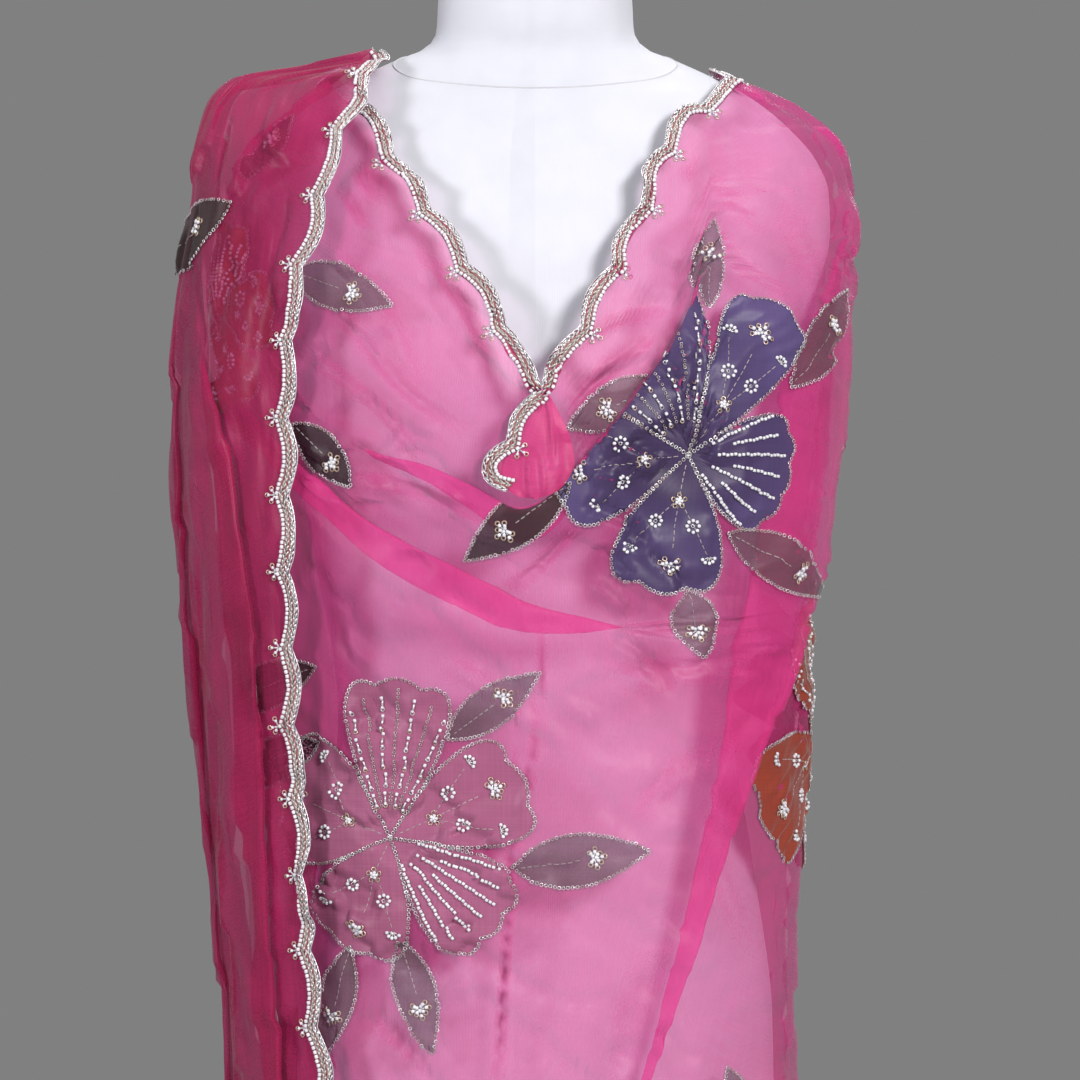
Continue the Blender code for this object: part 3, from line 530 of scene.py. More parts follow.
def tuck_surface():
    """The flap at the bottom of the V, lying on the front stretch and curling out at its left edge."""
    rows = np.linspace(0, 1, TUCK_STEPS_DOWN + 1)
    stations = np.linspace(0, 1, len(TUCK_EDGES["left"]))
    edges = {name: smooth_along(rows, stations, values) for name, values in TUCK_EDGES.items()}
    share = np.linspace(0, 1, TUCK_STEPS_ACROSS + 1)[:, None]
    across = edges["left"] + (edges["right"] - edges["left"]) * share
    height = edges["height_left"] + (edges["height_right"] - edges["height_left"]) * share
    curl = 2.0 * rows * (1 - share) ** 2 + 1.5 * np.sin(math.pi * rows) * np.sin(math.pi * share)
    lift = TUCK_LIFT_TOP + (TUCK_LIFT_FOOT - TUCK_LIFT_TOP) * np.sin(math.pi / 2 * rows)
    return on_drape(angle_at(across, height), height, lift + curl + crumple(across, height, seed=6))


def unit(vectors):
    return vectors / np.maximum(np.linalg.norm(vectors, axis=-1, keepdims=True), 1e-9)


def run_of(points, axis):
    """The direction of a grid's lines at each point, halfway between the steps on both sides of it."""
    steps = unit(np.diff(points, axis=axis))
    first, last = np.take(steps, [0], axis=axis), np.take(steps, [-1], axis=axis)
    before, after = np.concatenate([first, steps], axis=axis), np.concatenate([steps, last], axis=axis)
    return unit(before + after)


def grid_normals(points):
    """The outward normal at each point of a grid, columns by rows."""
    return unit(np.cross(run_of(points, 1), run_of(points, 0)))


def edge_of(points, side):
    """A grid's edge line, the direction into the cloth, and the outward normal along it."""
    normals = grid_normals(points)
    lines = {
        "top": (points[:, 0], points[:, 1] - points[:, 0], normals[:, 0]),
        "hem": (points[:, -1], points[:, -2] - points[:, -1], normals[:, -1]),
        "start": (points[0], points[1] - points[0], normals[0]),
        "end": (points[-1], points[-2] - points[-1], normals[-1]),
    }
    return lines[side]


# Fine creases in the front, as soft lines between two points: how far each bows, its width and its rise.
FRONT_CREASES = table(
    "from_x from_z to_x to_z bow width rise",
    (-105, 1163, -28, 1138, 5, 2.6, -2.2), (-17, 1097, 24, 1138, -4, 2.6, -2.0),
    (24, 1240, 78, 1262, 6, 2.5, -2.0), (37, 1230, 70, 1247, -3, 2.4, -1.7),
    (20, 1198, 54, 1232, 4, 2.4, -1.7), (30, 1216, 64, 1242, 3, 2.2, 1.4),
    (42, 1050, 136, 1066, -5, 2.6, -2.0), (52, 1034, 120, 1046, 4, 2.6, 1.2),
    (3, 1074, 2, 1030, 1, 1.4, 1.5), (2, 1030, -12, 940, 1, 1.4, 1.6),
    (-12, 940, -20, 804, -1, 1.4, 1.6), (-20, 804, -30, 470, 2, 1.7, 1.4),
    (-9, 1060, -26, 780, 2, 1.2, -1.2), (-118, 1338, -102, 1312, 2, 2.4, -1.7),
    (-108, 1352, -92, 1330, -2, 2.4, -1.5), (-128, 1305, -70, 1215, 8, 5.0, 1.6),
    (-112, 1262, -40, 1190, -8, 2.9, -1.6), (-140, 1240, -66, 1172, 6, 2.9, 1.6),
    (-70, 1300, -30, 1240, 4, 2.9, -1.4), (88, 1352, 132, 1310, 5, 2.9, 1.4),
    (96, 1330, 150, 1270, -6, 2.9, -1.4), (150, 1330, 168, 1230, 4, 5.0, 1.8),
    (162, 1300, 176, 1190, 3, 2.9, -1.6), (-98, 836, -62, 806, 4, 2.9, -1.8),
    (75, 884, 50, 800, -6, 5.0, -1.6), (104, 980, 128, 880, -8, 5.0, 1.6),
    (60, 960, 118, 1010, 6, 5.0, -1.4), (-60, 1052, -20, 1030, 5, 5.0, 1.4),
    (-120, 1060, -86, 1000, -6, 5.0, 1.4), (50, 1073, 122, 1073, 2, 2.4, -1.8),
    (30, 700, 90, 620, 8, 6.0, 1.6), (-70, 720, -30, 600, -8, 6.0, 1.6),
)
# The same on the fall, by distance across the ring's front.
FALL_CREASES = table(
    "from_x from_z to_x to_z bow width rise",
    (-150, 1370, -188, 1300, 8, 5.0, 2.0), (-128, 1352, -170, 1330, -6, 4.0, -1.6),
    (-144, 1290, -190, 1250, 6, 5.0, 1.8), (-146, 1240, -184, 1176, -8, 4.0, -1.8),
    (-158, 1188, -170, 1120, 4, 4.0, 1.6), (-143, 1130, -160, 1060, -4, 4.0, -1.4),
    (-136, 1010, -158, 930, 5, 5.0, 1.6), (-128, 900, -150, 820, -5, 5.0, 1.6),
    (-118, 780, -140, 640, 5, 5.0, 1.6),
)
CRUMPLE_WAVES, CRUMPLE_RISE = 9, 0.7


def crease_lift(rows, x, z):
    """How far a table's creases lift the cloth."""
    total = np.zeros(np.broadcast_shapes(np.shape(x), np.shape(z)))
    for row in rows_of(rows):
        run_x, run_z = row["to_x"] - row["from_x"], row["to_z"] - row["from_z"]
        long = math.hypot(run_x, run_z)
        along = ((x - row["from_x"]) * run_x + (z - row["from_z"]) * run_z) / long**2
        aside = ((z - row["from_z"]) * run_x - (x - row["from_x"]) * run_z) / long
        inside = np.clip(along, 0, 1)
        taper = np.sin(math.pi * inside) ** 0.7 * (np.abs(along - 0.5) < 0.5)
        aside = aside - row["bow"] * np.sin(math.pi * inside)
        total = total + row["rise"] * taper * np.exp(-((aside / row["width"]) ** 2))
    return total


def crease_density_and_shade_at(rows, x, z):
    """How steep a table's creases are, from 0 to 1: the cloth is made denser there, and shade is painted
    into its colour.
    """
    step = 0.8
    slope_x = crease_lift(rows, x + step, z) - crease_lift(rows, x - step, z)
    slope_z = crease_lift(rows, x, z + step) - crease_lift(rows, x, z - step)
    return np.clip(np.hypot(slope_x, slope_z) / (2 * step), 0, 1)


def crumple(x, z, seed):
    """Small uneven undulations, the same each run."""
    rng = np.random.default_rng(seed)
    total, bent = 0.0, 0.0
    for _ in range(CRUMPLE_WAVES):
        wave = rng.uniform(18, 80)
        heading = rng.uniform(0, math.pi)
        phase = (x * math.cos(heading) + z * math.sin(heading)) * 2 * math.pi / wave
        turn = np.sin(phase + bent + rng.uniform(0, 6))
        bent = bent + 1.1 * turn
        total = total + turn * wave / 50
    return CRUMPLE_RISE * total


class Look:
    """A material while it is built: nodes are added with their sockets set or linked."""

    def __init__(self, name, roughness, metallic=0.0):
        self.material = bpy.data.materials.new(name)
        self.material.use_nodes = True
        self.tree = self.material.node_tree
        self.shader = self.tree.nodes["Principled BSDF"]
        self.feed(self.shader, {"Roughness": roughness, "Metallic": metallic})

    def feed(self, node, sockets):
        for key, value in sockets.items():
            if isinstance(value, bpy.types.NodeSocket):
                self.tree.links.new(value, node.inputs[key])
            else:
                node.inputs[key].default_value = value

    def add(self, kind, sockets, **settings):
        """A new node. Its settings come first, because they decide which sockets it has."""
        node = self.tree.nodes.new("ShaderNode" + kind)
        for key, value in settings.items():
            setattr(node, key, value)
        self.feed(node, sockets)
        return node

    def noise(self, scale, detail, stretch=(1, 1, 1), source="Object"):
        """A noise texture, stretched along the axes, on the piece's own coordinates or its cloth ones."""
        place = self.add("TexCoord", {}).outputs[source]
        mapping = self.add("Mapping", {"Vector": place, "Scale": stretch})
        sockets = {"Vector": mapping.outputs["Vector"], "Scale": scale, "Detail": detail}
        return self.add("TexNoise", sockets).outputs["Fac"]

    def ramp(self, value, low, high, out_low, out_high):
        """A value mapped from one range to another, and kept inside it."""
        sockets = {"Value": value, "From Min": low, "From Max": high, "To Min": out_low, "To Max": out_high}
        return self.add("MapRange", sockets).outputs["Result"]

    def mix(self, share, first, second):
        sockets = {"Factor": share, "A": first, "B": second}
        return self.add("Mix", sockets, data_type="RGBA").outputs["Result"]

    def two_tones(self, first, second, scale, detail):
        """Soft patches of two colours."""
        cloud = self.ramp(self.noise(scale, detail), 0.35, 0.65, 0, 1)
        return self.mix(cloud, (*first, 1), (*second, 1))

    def weave(self, pitch):
        """Threads both ways at the cloth's own coordinates, as a value from 0 to 1."""
        sockets = {
            "Vector": self.add("TexCoord", {}).outputs["UV"],
            "Scale": math.pi / 10 / (pitch * MM),
            "Distortion": 1.2,
            "Detail": 1.0,
            "Detail Scale": 0.3,
        }
        bands = [self.add("TexWave", sockets, bands_direction=way).outputs["Fac"] for way in ("X", "Y")]
        return self.add("Math", dict(enumerate(bands)), operation="MULTIPLY").outputs["Value"]


# How much denser a steep crease makes the cloth, and how dark the shade painted into its colour is.
GATHER_SHARE, PAINTED_CREASE_SHADE = 0.6, 0.35


def sheer(name, tint, first, second, body):
    """Organza: part of the light passes through, tinted, and the rest meets slubby woven threads. Steep
    creases are denser and get painted shade.
    """
    look = Look(name, 0.42)
    slubs = look.noise(900, 2, stretch=(0.02, 1, 1), source="UV")
    streaks = look.noise(700, 2, stretch=(1, 0.02, 1), source="UV")
    crease_density_and_shade = look.add("Attribute", {}, attribute_name="crease_density_and_shade").outputs["Fac"]
    # painted shade: steep creases mix the base colour towards a dark copy of the second tone
    painted_crease_shade = (*(PAINTED_CREASE_SHADE * share for share in second), 1)
    sockets = {
        "Base Color": look.mix(crease_density_and_shade, look.two_tones(first, second, 9, 2), painted_crease_shade),
        "Sheen Weight": 0.35,
        "Sheen Roughness": 0.4,
        "Specular IOR Level": 0.3,
    }
    look.feed(look.shader, sockets)
    film = look.add("BsdfTransparent", {"Color": (*tint, 1)})
    both = look.add("Math", {0: slubs, 1: streaks}, operation="ADD")
    share = look.ramp(both.outputs["Value"], 0.75, 1.25, *body)
    sockets = {0: crease_density_and_shade, 1: GATHER_SHARE, 2: share}
    denser = look.add("Math", sockets, operation="MULTIPLY_ADD", use_clamp=True)
    sockets = {"Fac": denser.outputs["Value"], 1: film.outputs["BSDF"], 2: look.shader.outputs["BSDF"]}
    mixed = look.add("MixShader", sockets)
    look.feed(look.tree.nodes["Material Output"], {"Surface": mixed.outputs["Shader"]})
    return look.material


def fabric(name, first, second, roughness, sheen, thread, scale):
    """A closed woven cloth in two tones."""
    look = Look(name, roughness)
    bump = look.add("Bump", {"Height": look.weave(thread), "Strength": 0.4, "Distance": 0.15 * MM})
    sockets = {
        "Base Color": look.two_tones(first, second, scale, 4),
        "Sheen Weight": sheen,
        "Sheen Roughness": 0.4,
        "Specular IOR Level": 0.3,
        "Normal": bump.outputs["Normal"],
    }
    look.feed(look.shader, sockets)
    return look.material


def shiny(name, first, second, roughness, metallic):
    """Glass, sequin film or metal, with small changes of tone from bead to bead."""
    look = Look(name, roughness, metallic)
    look.feed(look.shader, {"Base Color": look.two_tones(first, second, 300, 2)})
    return look.material


def brushed_steel():
    look = Look("steel", 0.3, 1.0)
    grain = look.noise(260, 2, stretch=(1, 1, 12))
    base = look.mix(grain, (0.56, 0.57, 0.60, 1), (0.62, 0.63, 0.66, 1))
    look.feed(look.shader, {"Base Color": base, "Roughness": look.ramp(grain, 0.3, 0.7, 0.28, 0.34)})
    return look.material


def add_mesh(name, vertices, faces, materials, numbers=None, uvs=None):
    """A visible piece that rides on the object's one body."""
    mesh = bpy.data.meshes.new(name)
    mesh.from_pydata((np.asarray(vertices) * MM).tolist(), [], faces)
    for material in materials:
        mesh.materials.append(material)
    if numbers is not None:
        mesh.polygons.foreach_set("material_index", np.asarray(numbers, np.int32))
    if uvs is not None:
        layer = mesh.uv_layers.new(name="cloth")
        corners = np.zeros(len(mesh.loops), np.int32)
        mesh.loops.foreach_get("vertex_index", corners)
        layer.data.foreach_set("uv", (np.asarray(uvs)[corners] * MM).ravel().astype(np.float32))
    mesh.shade_smooth()
    made = bpy.data.objects.new(name, mesh)
    bpy.context.scene.collection.objects.link(made)
    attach(made, "root")
    return made


def grid_faces(columns, rows, keep=None):
    """Faces of a grid whose normals point out, and where each one's cell is kept."""
    i, j = np.meshgrid(np.arange(columns - 1), np.arange(rows - 1), indexing="ij")
    first = (i * rows + j).ravel()
    faces = np.stack([first, first + 1, first + rows + 1, first + rows], axis=1)
    return (faces if keep is None else faces[keep.ravel()]).tolist()


def steps_of(points, axis=0):
    """The lengths of the steps along a line of points, or along a grid one way."""
    return np.linalg.norm(np.diff(points, axis=axis), axis=-1)


def run_along(points):
    """The distance along a line of points, from its start to each."""
    return np.concatenate([[0], np.cumsum(steps_of(points))])


def grid_uvs(points):
    """Distances over a grid both ways, for the weave."""
    u = np.concatenate([np.zeros((1, points.shape[1])), np.cumsum(steps_of(points), axis=0)])
    v = np.concatenate([np.zeros((points.shape[0], 1)), np.cumsum(steps_of(points, 1), axis=1)], axis=1)
    u = u * 0 + u.mean(axis=1, keepdims=True)
    return np.stack([u, v], axis=-1).reshape(-1, 2)


# A ray that looks for the cloth starts this far out, and goes this far.
RAY_START, RAY_REACH = 60, 75


class Stretch:
    """One stretch of cloth: its piece, its grid and a tree for laying things on it."""

    def __init__(self, name, points, material, bundle=0.0, crease_density_and_shade=None):
        self.points, self.bundle = points, bundle
        faces = grid_faces(*points.shape[:2])
        flat = points.reshape(-1, 3)
        self.tree = BVHTree.FromPolygons([Vector(p) for p in flat], faces)
        self.piece = add_mesh(name, flat, faces, [material], uvs=grid_uvs(points))
        if crease_density_and_shade is not None:
            layer = self.piece.data.attributes.new("crease_density_and_shade", "FLOAT", "POINT")
            layer.data.foreach_set("value", crease_density_and_shade.ravel().astype(np.float32))
        self.trims = []

    def flat(self):
        """Greatest width and length of the cut, and its area, in metres."""
        across = steps_of(self.points).sum(axis=0).max() * MM
        down = steps_of(self.points, 1).sum(axis=1).max() * MM
        area = sum(face.area for face in self.piece.data.polygons)
        return across, down, area

    def seat(self, angle, height):
        """The outermost points and normals of the cloth at these places, and which were found."""
        angle, height = np.broadcast_arrays(np.asarray(angle, float), np.asarray(height, float))
        shape = angle.shape
        ring = on_drape(angle, height, 0 * angle, self.bundle)
        away = unit(on_drape(angle, height, 0 * angle + 1.0, self.bundle) - ring)
        points, normals = ring.reshape(-1, 3).copy(), away.reshape(-1, 3).copy()
        found = np.zeros(len(points), bool)
        for k, (point, normal) in enumerate(zip(ring.reshape(-1, 3), away.reshape(-1, 3))):
            start = Vector(point + normal * RAY_START)
            place, face_normal, _, _ = self.tree.ray_cast(start, Vector(-normal), RAY_REACH)
            if place is None:
                continue
            found[k] = True
            points[k] = place
            facing = np.array(face_normal) * np.sign(np.dot(face_normal, normal))
            normals[k] = unit(facing + 0.6 * normal)
        return points.reshape(*shape, 3), normals.reshape(*shape, 3), found.reshape(shape)


class Spot:
    """A place for a motif: flat distances right and up from it become places on a stretch."""

    def __init__(self, stretch, angle, height, edge=None):
        self.stretch, self.height, self.edge = stretch, height, edge
        turn = np.arange(-200.0, 401.0)
        ring = drape_ring(turn, np.full_like(turn, height), stretch.bundle)
        self.turn, self.run = turn, run_along(ring)
        self.start = np.interp(angle, turn, self.run)

    def place(self, right, up):
        """Points, normals, which were found on the cloth, and which lie on this side of a fold's edge."""
        angle = np.interp(self.start + np.asarray(right, float), self.run, self.turn)
        height = self.height + np.asarray(up, float)
        whole = np.ones(angle.shape, bool)
        if self.edge is not None:
            angle, height, whole = self.edge(angle, height)
        points, normals, found = self.stretch.seat(angle, height)
        return points, normals, found, whole


def neck_fold_edge(angle, height, share):
    """The height of the neck fold's edge, at a share of its span above the line, and its strength."""
    strength = strength_at(NECK_FOLD_STRENGTH, across_at(angle, height))
    return height_on(NECK_FOLD, angle) + share * NECK_FOLD_SPAN * strength, strength


def below_neck_fold(angle, height):
    """Keeps a motif on the cloth below the neck fold's edge."""
    edge, strength = neck_fold_edge(angle, height, 0.26)
    edge = edge - 1.0
    inside = (height < edge + 0.5) | (strength < 0.3)
    return angle, np.where(inside, height, edge), inside


def above_neck_fold(angle, height):
    """Keeps a motif on the cloth above the neck fold's edge."""
    edge = neck_fold_edge(angle, height, 0.28)[0] + 0.5
    inside = height > edge - 0.5
    return angle, np.where(inside, height, edge), inside


def beyond_shoulder_fold(angle, height):
    """Keeps a motif on the cloth behind the shoulder fold's edge."""
    span, strength = column(SHOULDER_FOLD, "span", height), column(SHOULDER_FOLD, "strength", height)
    edge = column(SHOULDER_FOLD, "angle", height) + 0.275 * span * strength + 0.5
    inside = angle > edge - 0.3
    return np.where(inside, angle, edge), height, inside


def behind_seam(angle, height):
    """Keeps a motif on the back stretch, behind where the front one ends."""
    inside = angle > BACK_SPAN[0] - 0.3
    return np.where(inside, angle, BACK_SPAN[0]), height, inside


# The beadwork's materials, in the order that its pieces carry them.
BRIGHT_WHITE, SILVER, DULL, GOLD, THREAD, RED_THREAD = range(6)
BEAD_LOOKS = ("white_beads", "silver_bugles", "dull_sequins", "gold_sequins", "stitching", "border_thread")

# Small units, each turned round its axis from (place along the axis, radius) points.
RING_SIDES = 7
BEAD_SIDES = 6


def turned_unit(profile, sides, closed=True):
    """Vertices and faces of a small turned solid. A closed one gets flat ends, and an open one is a ring."""
    turn = 2 * math.pi * np.arange(sides) / sides
    vertices = [(z, r * math.cos(a), r * math.sin(a)) for z, r in profile for a in turn]
    last = len(profile) if not closed else len(profile) - 1
    faces = []
    for ring in range(last):
        here, there = ring * sides, (ring + 1) % len(profile) * sides
        for k in range(sides):
            following = (k + 1) % sides
            faces.append([here + k, there + k, there + following, here + following])
    if closed:
        faces.append(list(range(sides)))
        faces.append([(len(profile) - 1) * sides + k for k in range(sides)][::-1])
    return np.array(vertices), faces


RING = turned_unit([(0.0, 1.3), (0.42, 0.98), (0.0, 0.66)], RING_SIDES, closed=False)
BEAD = turned_unit([(-1.0, 0.7), (-0.75, 1.05), (0.75, 1.05), (1.0, 0.7)], BEAD_SIDES)
BUGLE = turned_unit([(-1.9, 0.62), (1.9, 0.62)], BEAD_SIDES)
SEED = turned_unit([(-0.75, 0.35), (-0.35, 0.8), (0.35, 0.8), (0.75, 0.35)], BEAD_SIDES)


class Scatter:
    """Collects many copies of small units and threads, and makes one joined piece of them."""

    def __init__(self, name, materials, slot):
        self.name, self.materials, self.slot = name, materials, slot
        self.vertices, self.faces, self.numbers, self.count = [], [], [], 0

    def add(self, unit_mesh, point, axis, side, size=1.0, number=0):
        """One copy with its axis along axis, and its second direction near side."""
        vertices, faces = unit_mesh
        axis = unit(np.asarray(axis, float))
        second = unit(np.cross(axis, np.cross(side, axis)))
        frame_of = np.stack([axis, second, np.cross(axis, second)])
        self.vertices.append(vertices * size @ frame_of + point)
        self.faces += [[self.count + k for k in face] for face in faces]
        self.numbers += [number] * len(faces)
        self.count += len(vertices)

    def thread(self, points, normals, radius, number=0):
        """A thin four-sided thread along points."""
        if len(points) < 2:
            return
        along = unit(np.gradient(points, axis=0))
        aside = unit(np.cross(normals, along))
        corners = [aside, normals, -aside, -normals]
        rings = np.stack([points + corner * radius for corner in corners], axis=1)
        self.vertices.append(rings.reshape(-1, 3))
        count = len(points)
        for k in range(count - 1):
            for c in range(4):
                a, b = self.count + 4 * k + c, self.count + 4 * k + (c + 1) % 4
                self.faces.append([a, b, b + 4, a + 4])
        self.faces.append([self.count + c for c in (3, 2, 1, 0)])
        self.faces.append([self.count + 4 * (count - 1) + c for c in range(4)])
        self.numbers += [number] * (4 * (count - 1) + 2)
        self.count += 4 * count

    def finish(self):
        return add_mesh(
            self.name, np.concatenate(self.vertices), self.faces, self.materials, self.numbers
        )


def even_places(points, pitch):
    """Places along a line of flat points, evenly spaced, and the direction at each."""
    points = np.asarray(points, float)
    run = run_along(points)
    count = max(2, round(run[-1] / pitch) + 1)
    at = np.linspace(0, run[-1], count)
    places = np.stack([np.interp(at, run, points[:, k]) for k in (0, 1)], axis=1)
    return places, unit(np.gradient(places, axis=0))


# Applique. A flower's petals: the way each points, half its opening, its length, its lobes and its beadwork.
ROSETTES, SEQUIN_ROWS, BEAD_ROWS = 0, 1, 2
PLUM_PETALS = table(
    "heading half reach lobes work",
    (84, 28, 92, 3, SEQUIN_ROWS), (24, 32, 84, 3, ROSETTES), (-41, 33, 80, 4, BEAD_ROWS),
    (-115, 41, 72, 3, ROSETTES), (158, 46, 78, 3, ROSETTES),
)
PURPLE_PETALS = table(
    "heading half reach lobes work",
    (114, 35, 99, 4, SEQUIN_ROWS), (59, 21, 99, 2, ROSETTES), (-12, 49, 62, 5, BEAD_ROWS),
    (-98, 36, 79, 3, ROSETTES), (-173, 38, 77, 2, ROSETTES),
)
RUST_PETALS = table(
    "heading half reach lobes work",
    (106, 46, 92, 4, SEQUIN_ROWS), (30, 30, 84, 3, ROSETTES), (-26, 30, 74, 4, BEAD_ROWS),
    (-84, 27, 80, 3, ROSETTES), (-148, 37, 92, 3, ROSETTES),
)
# Leaves, from the middle of the base to the tip, with half their width. dark is 1 on doubled layers.
FRONT_LEAVES = table(
    "across height to_across to_height half dark edge",
    (101, 1263, 107, 1318, 10, 0, 0), (145, 1218, 178, 1280, 14, 0, 0),
    (109, 1131, 163, 1092, 15, 0, 0), (87, 1096, 95, 1057, 13, 0, 0), (78, 1220, 19, 1192, 14, 0, 1),
    (20, 1160, -41, 1114, 14, 1, 2), (-51, 1008, 3, 1048, 12, 0, 0), (-13, 930, 66, 941, 16, 0, 0),
    (-80, 886, -60, 819, 13, 0, 0), (-109, 881, -124, 812, 12, 0, 0), (-146, 1288, -84, 1264, 14, 0, 0),
    (-141, 1196, -106, 1158, 13, 1, 0), (128, 765, 113, 808, 12, 0, 0),
    (-172, 1344, -146, 1384, 15, 1, 0), (-128, 1050, -178, 1022, 14, 1, 0),
    (-128, 1004, -172, 975, 14, 1, 0), (40, 560, 70, 620, 14, 0, 0), (-20, 520, -70, 560, 14, 0, 0),
    (90, 640, 130, 590, 14, 0, 0),
)
FALL_LEAVES = table(
    "angle height to_angle to_height half dark",
    (-91, 1296, -60, 1328, 19, 1), (-62, 640, -70, 700, 14, 1),
)
BACK_LEAVES = table(
    "angle height to_angle to_height half dark",
    (150, 1290, 160, 1350, 14, 0), (182, 1228, 202, 1266, 15, 0), (128, 1090, 112, 1040, 14, 0),
    (188, 1012, 206, 962, 14, 0), (212, 880, 232, 930, 14, 0), (136, 800, 118, 850, 14, 0),
    (206, 700, 222, 650, 14, 0), (150, 640, 132, 590, 14, 0), (236, 1190, 244, 1250, 14, 0),
)
PETAL_STEPS = (46, 38)
LEAF_STEPS = (18, 40)
OUTLINE_PITCH = 2.7
PATCH_LIFT, STITCH_LIFT, BEAD_LIFT = 1.5, 1.5, 1.9
STITCH_STEP, STITCH_RADIUS = 1.3, 0.3
BRIGHT_SHARE = 0.7
# No face of a patch, and no unit, spans more than this: there it would bridge a fold.
LONGEST_CELL, LONGEST_UNIT = 9, 6
CELL_CORNERS = [(a, b) for a in (slice(0, -1), slice(1, None)) for b in (slice(0, -1), slice(1, None))]


def patch(spot, right, up, pieces):
    """Adds a patch of cloth to the list of a flower's or leaf's pieces, cut where a fold hides it."""
    points, normals, found, whole = spot.place(right, up)
    inside = np.any([whole[corner] for corner in CELL_CORNERS], axis=0)
    there = np.all([found[corner] for corner in CELL_CORNERS], axis=0)
    sides = np.linalg.norm(points[1:, 1:] - points[:-1, :-1], axis=-1)
    keep = inside & there & (sides < LONGEST_CELL)
    count = sum(len(p[0]) for p in pieces)
    faces = [[count + k for k in face] for face in grid_faces(*points.shape[:2], keep)]
    uvs = np.stack([right, up], axis=-1).reshape(-1, 2)
    pieces.append(((points + normals * PATCH_LIFT).reshape(-1, 3), faces, uvs))


def patch_object(name, pieces, material):
    vertices = np.concatenate([p[0] for p in pieces])
    faces = [face for p in pieces for face in p[1]]
    made = add_mesh(name, vertices, faces, [material], uvs=np.concatenate([p[2] for p in pieces]))
    mesh = made.data
    bm = bmesh.new()
    bm.from_mesh(mesh)
    bmesh.ops.delete(bm, geom=[v for v in bm.verts if not v.link_faces], context="VERTS")
    bm.to_mesh(mesh)
    bm.free()
    return made


class Needlework:
    """Sews units and threads on a stretch at flat places round a spot."""

    def __init__(self, beads, rng):
        self.beads, self.rng = beads, rng

    def units(self, spot, unit_mesh, places, headings, number, size=1.0, flat=False, lift=BEAD_LIFT):
        """Copies at places, each turned to its heading. A flat unit faces out, and others lie along it."""
        places, headings = np.atleast_2d(places), np.atleast_2d(headings)
        headings = np.broadcast_to(headings, places.shape)
        flat_places = np.concatenate([places, places + headings])
        points, normals, found, whole = spot.place(flat_places[:, 0], flat_places[:, 1])
        for point, normal, towards, sewn in zip(points, normals, points[len(places) :], found & whole):
            if not sewn or np.linalg.norm(towards - point) > LONGEST_UNIT:
                continue
            along = unit(towards - point)
            if flat:
                tilt = self.rng.normal(0, 0.16, 3)
                self.beads.add(unit_mesh, point + normal * lift, normal + tilt, along, size, number)
            else:
                self.beads.add(unit_mesh, point + normal * (lift + 0.4), along, normal, size, number)

    def line(self, spot, places):
        """Stitches along a line, each as long as two steps, with a step between them."""
        places, _ = even_places(places, STITCH_STEP)
        points, normals, found, whole = spot.place(places[:, 0], places[:, 1])
        sewn = found & whole
        for start in range(0, len(sewn) - 2, 3):
            part = slice(start, start + 3)
            if sewn[part].all():
                lifted = points[part] + normals[part] * STITCH_LIFT
                self.beads.thread(lifted, normals[part], STITCH_RADIUS, THREAD)

    def outline(self, spot, places):
        """Ring sequins along an outline, in bright and dull runs."""
        places, headings = even_places(places, OUTLINE_PITCH)
        run = np.sin(np.arange(len(places)) * 0.21 + self.rng.uniform(0, 6))
        shine = run + self.rng.normal(0, 0.8, len(places)) > 1 - 2 * BRIGHT_SHARE
        for number, chosen in ((SILVER, shine), (DULL, ~shine)):
            if chosen.any():
                size = 1.05 if number == SILVER else 0.92
                self.units(spot, RING, places[chosen], headings[chosen], number, size, flat=True)


def around(count, radius, start=0.0, sweep=360.0):
    """Flat places round a middle, and the outward direction at each."""
    turn = np.radians(start + sweep * np.arange(count) / (count if sweep == 360.0 else max(count - 1, 1)))
    heading = np.stack([np.cos(turn), np.sin(turn)], axis=1)
    return heading * radius, heading


def bloom(sew, spot, middle):
    places, headings = around(5, 3.5, start=18)
    sew.units(spot, RING, middle + places, headings, GOLD, 1.3, flat=True)
    places, headings = around(5, 1.6)
    sew.units(spot, SEED, middle + places, headings, BRIGHT_WHITE, 1.3, lift=2.0)
    sew.units(spot, SEED, middle, (1.0, 0.0), BRIGHT_WHITE, 1.4, lift=2.4)


def wheel(sew, spot, middle):
    places, headings = around(8, 3.4)
    sew.units(spot, SEED, middle + places, headings, BRIGHT_WHITE, 1.4)
    sew.units(spot, RING, middle, (1.0, 0.0), SILVER, 1.0, flat=True)


def half_wheel(sew, spot, middle, heading):
    places, headings = around(5, 3.8, start=heading - 72, sweep=144)
    sew.units(spot, SEED, middle + places, headings, BRIGHT_WHITE, 1.4)
    sew.units(spot, BUGLE, middle + places * 0.4, headings, SILVER, 0.6)


def spray(sew, spot, middle, heading):
    """Sequins on short bugles, spread from one point."""
    ways, _ = around(7, 1.0, start=heading - 120, sweep=240)
    reach = np.where(np.arange(7) % 2, 6.2, 4.6)[:, None]
    sew.units(spot, BUGLE, middle + ways * 2.0, ways, SILVER, 0.6)
    sew.units(spot, RING, middle + ways * reach, ways, GOLD, 1.4, flat=True)
    sew.units(spot, SEED, middle + ways * (reach - 1.7), ways, BRIGHT_WHITE, 1.5, lift=2.2)
    places, headings = around(3, 1.3, start=heading)
    sew.units(spot, SEED, middle + places, headings, BRIGHT_WHITE, 1.4, lift=2.0)


def petal_place(row, across, out):
    """The flat place at a share across a petal (-1 to 1) and a share of the way out (0 to 1)."""
    across, out = np.broadcast_arrays(np.asarray(across, float), np.asarray(out, float))
    lobes = 1 + 0.05 * np.abs(np.cos(math.pi / 2 * row["lobes"] * across)) - 0.3 * np.abs(across) ** 6
    reach = 1 + (row["reach"] * lobes - 1) * out
    turn = np.radians(row["heading"] + row["half"] * across * (1 - 0.12 * out**4))
    return np.stack([reach * np.cos(turn), reach * np.sin(turn)], axis=-1)


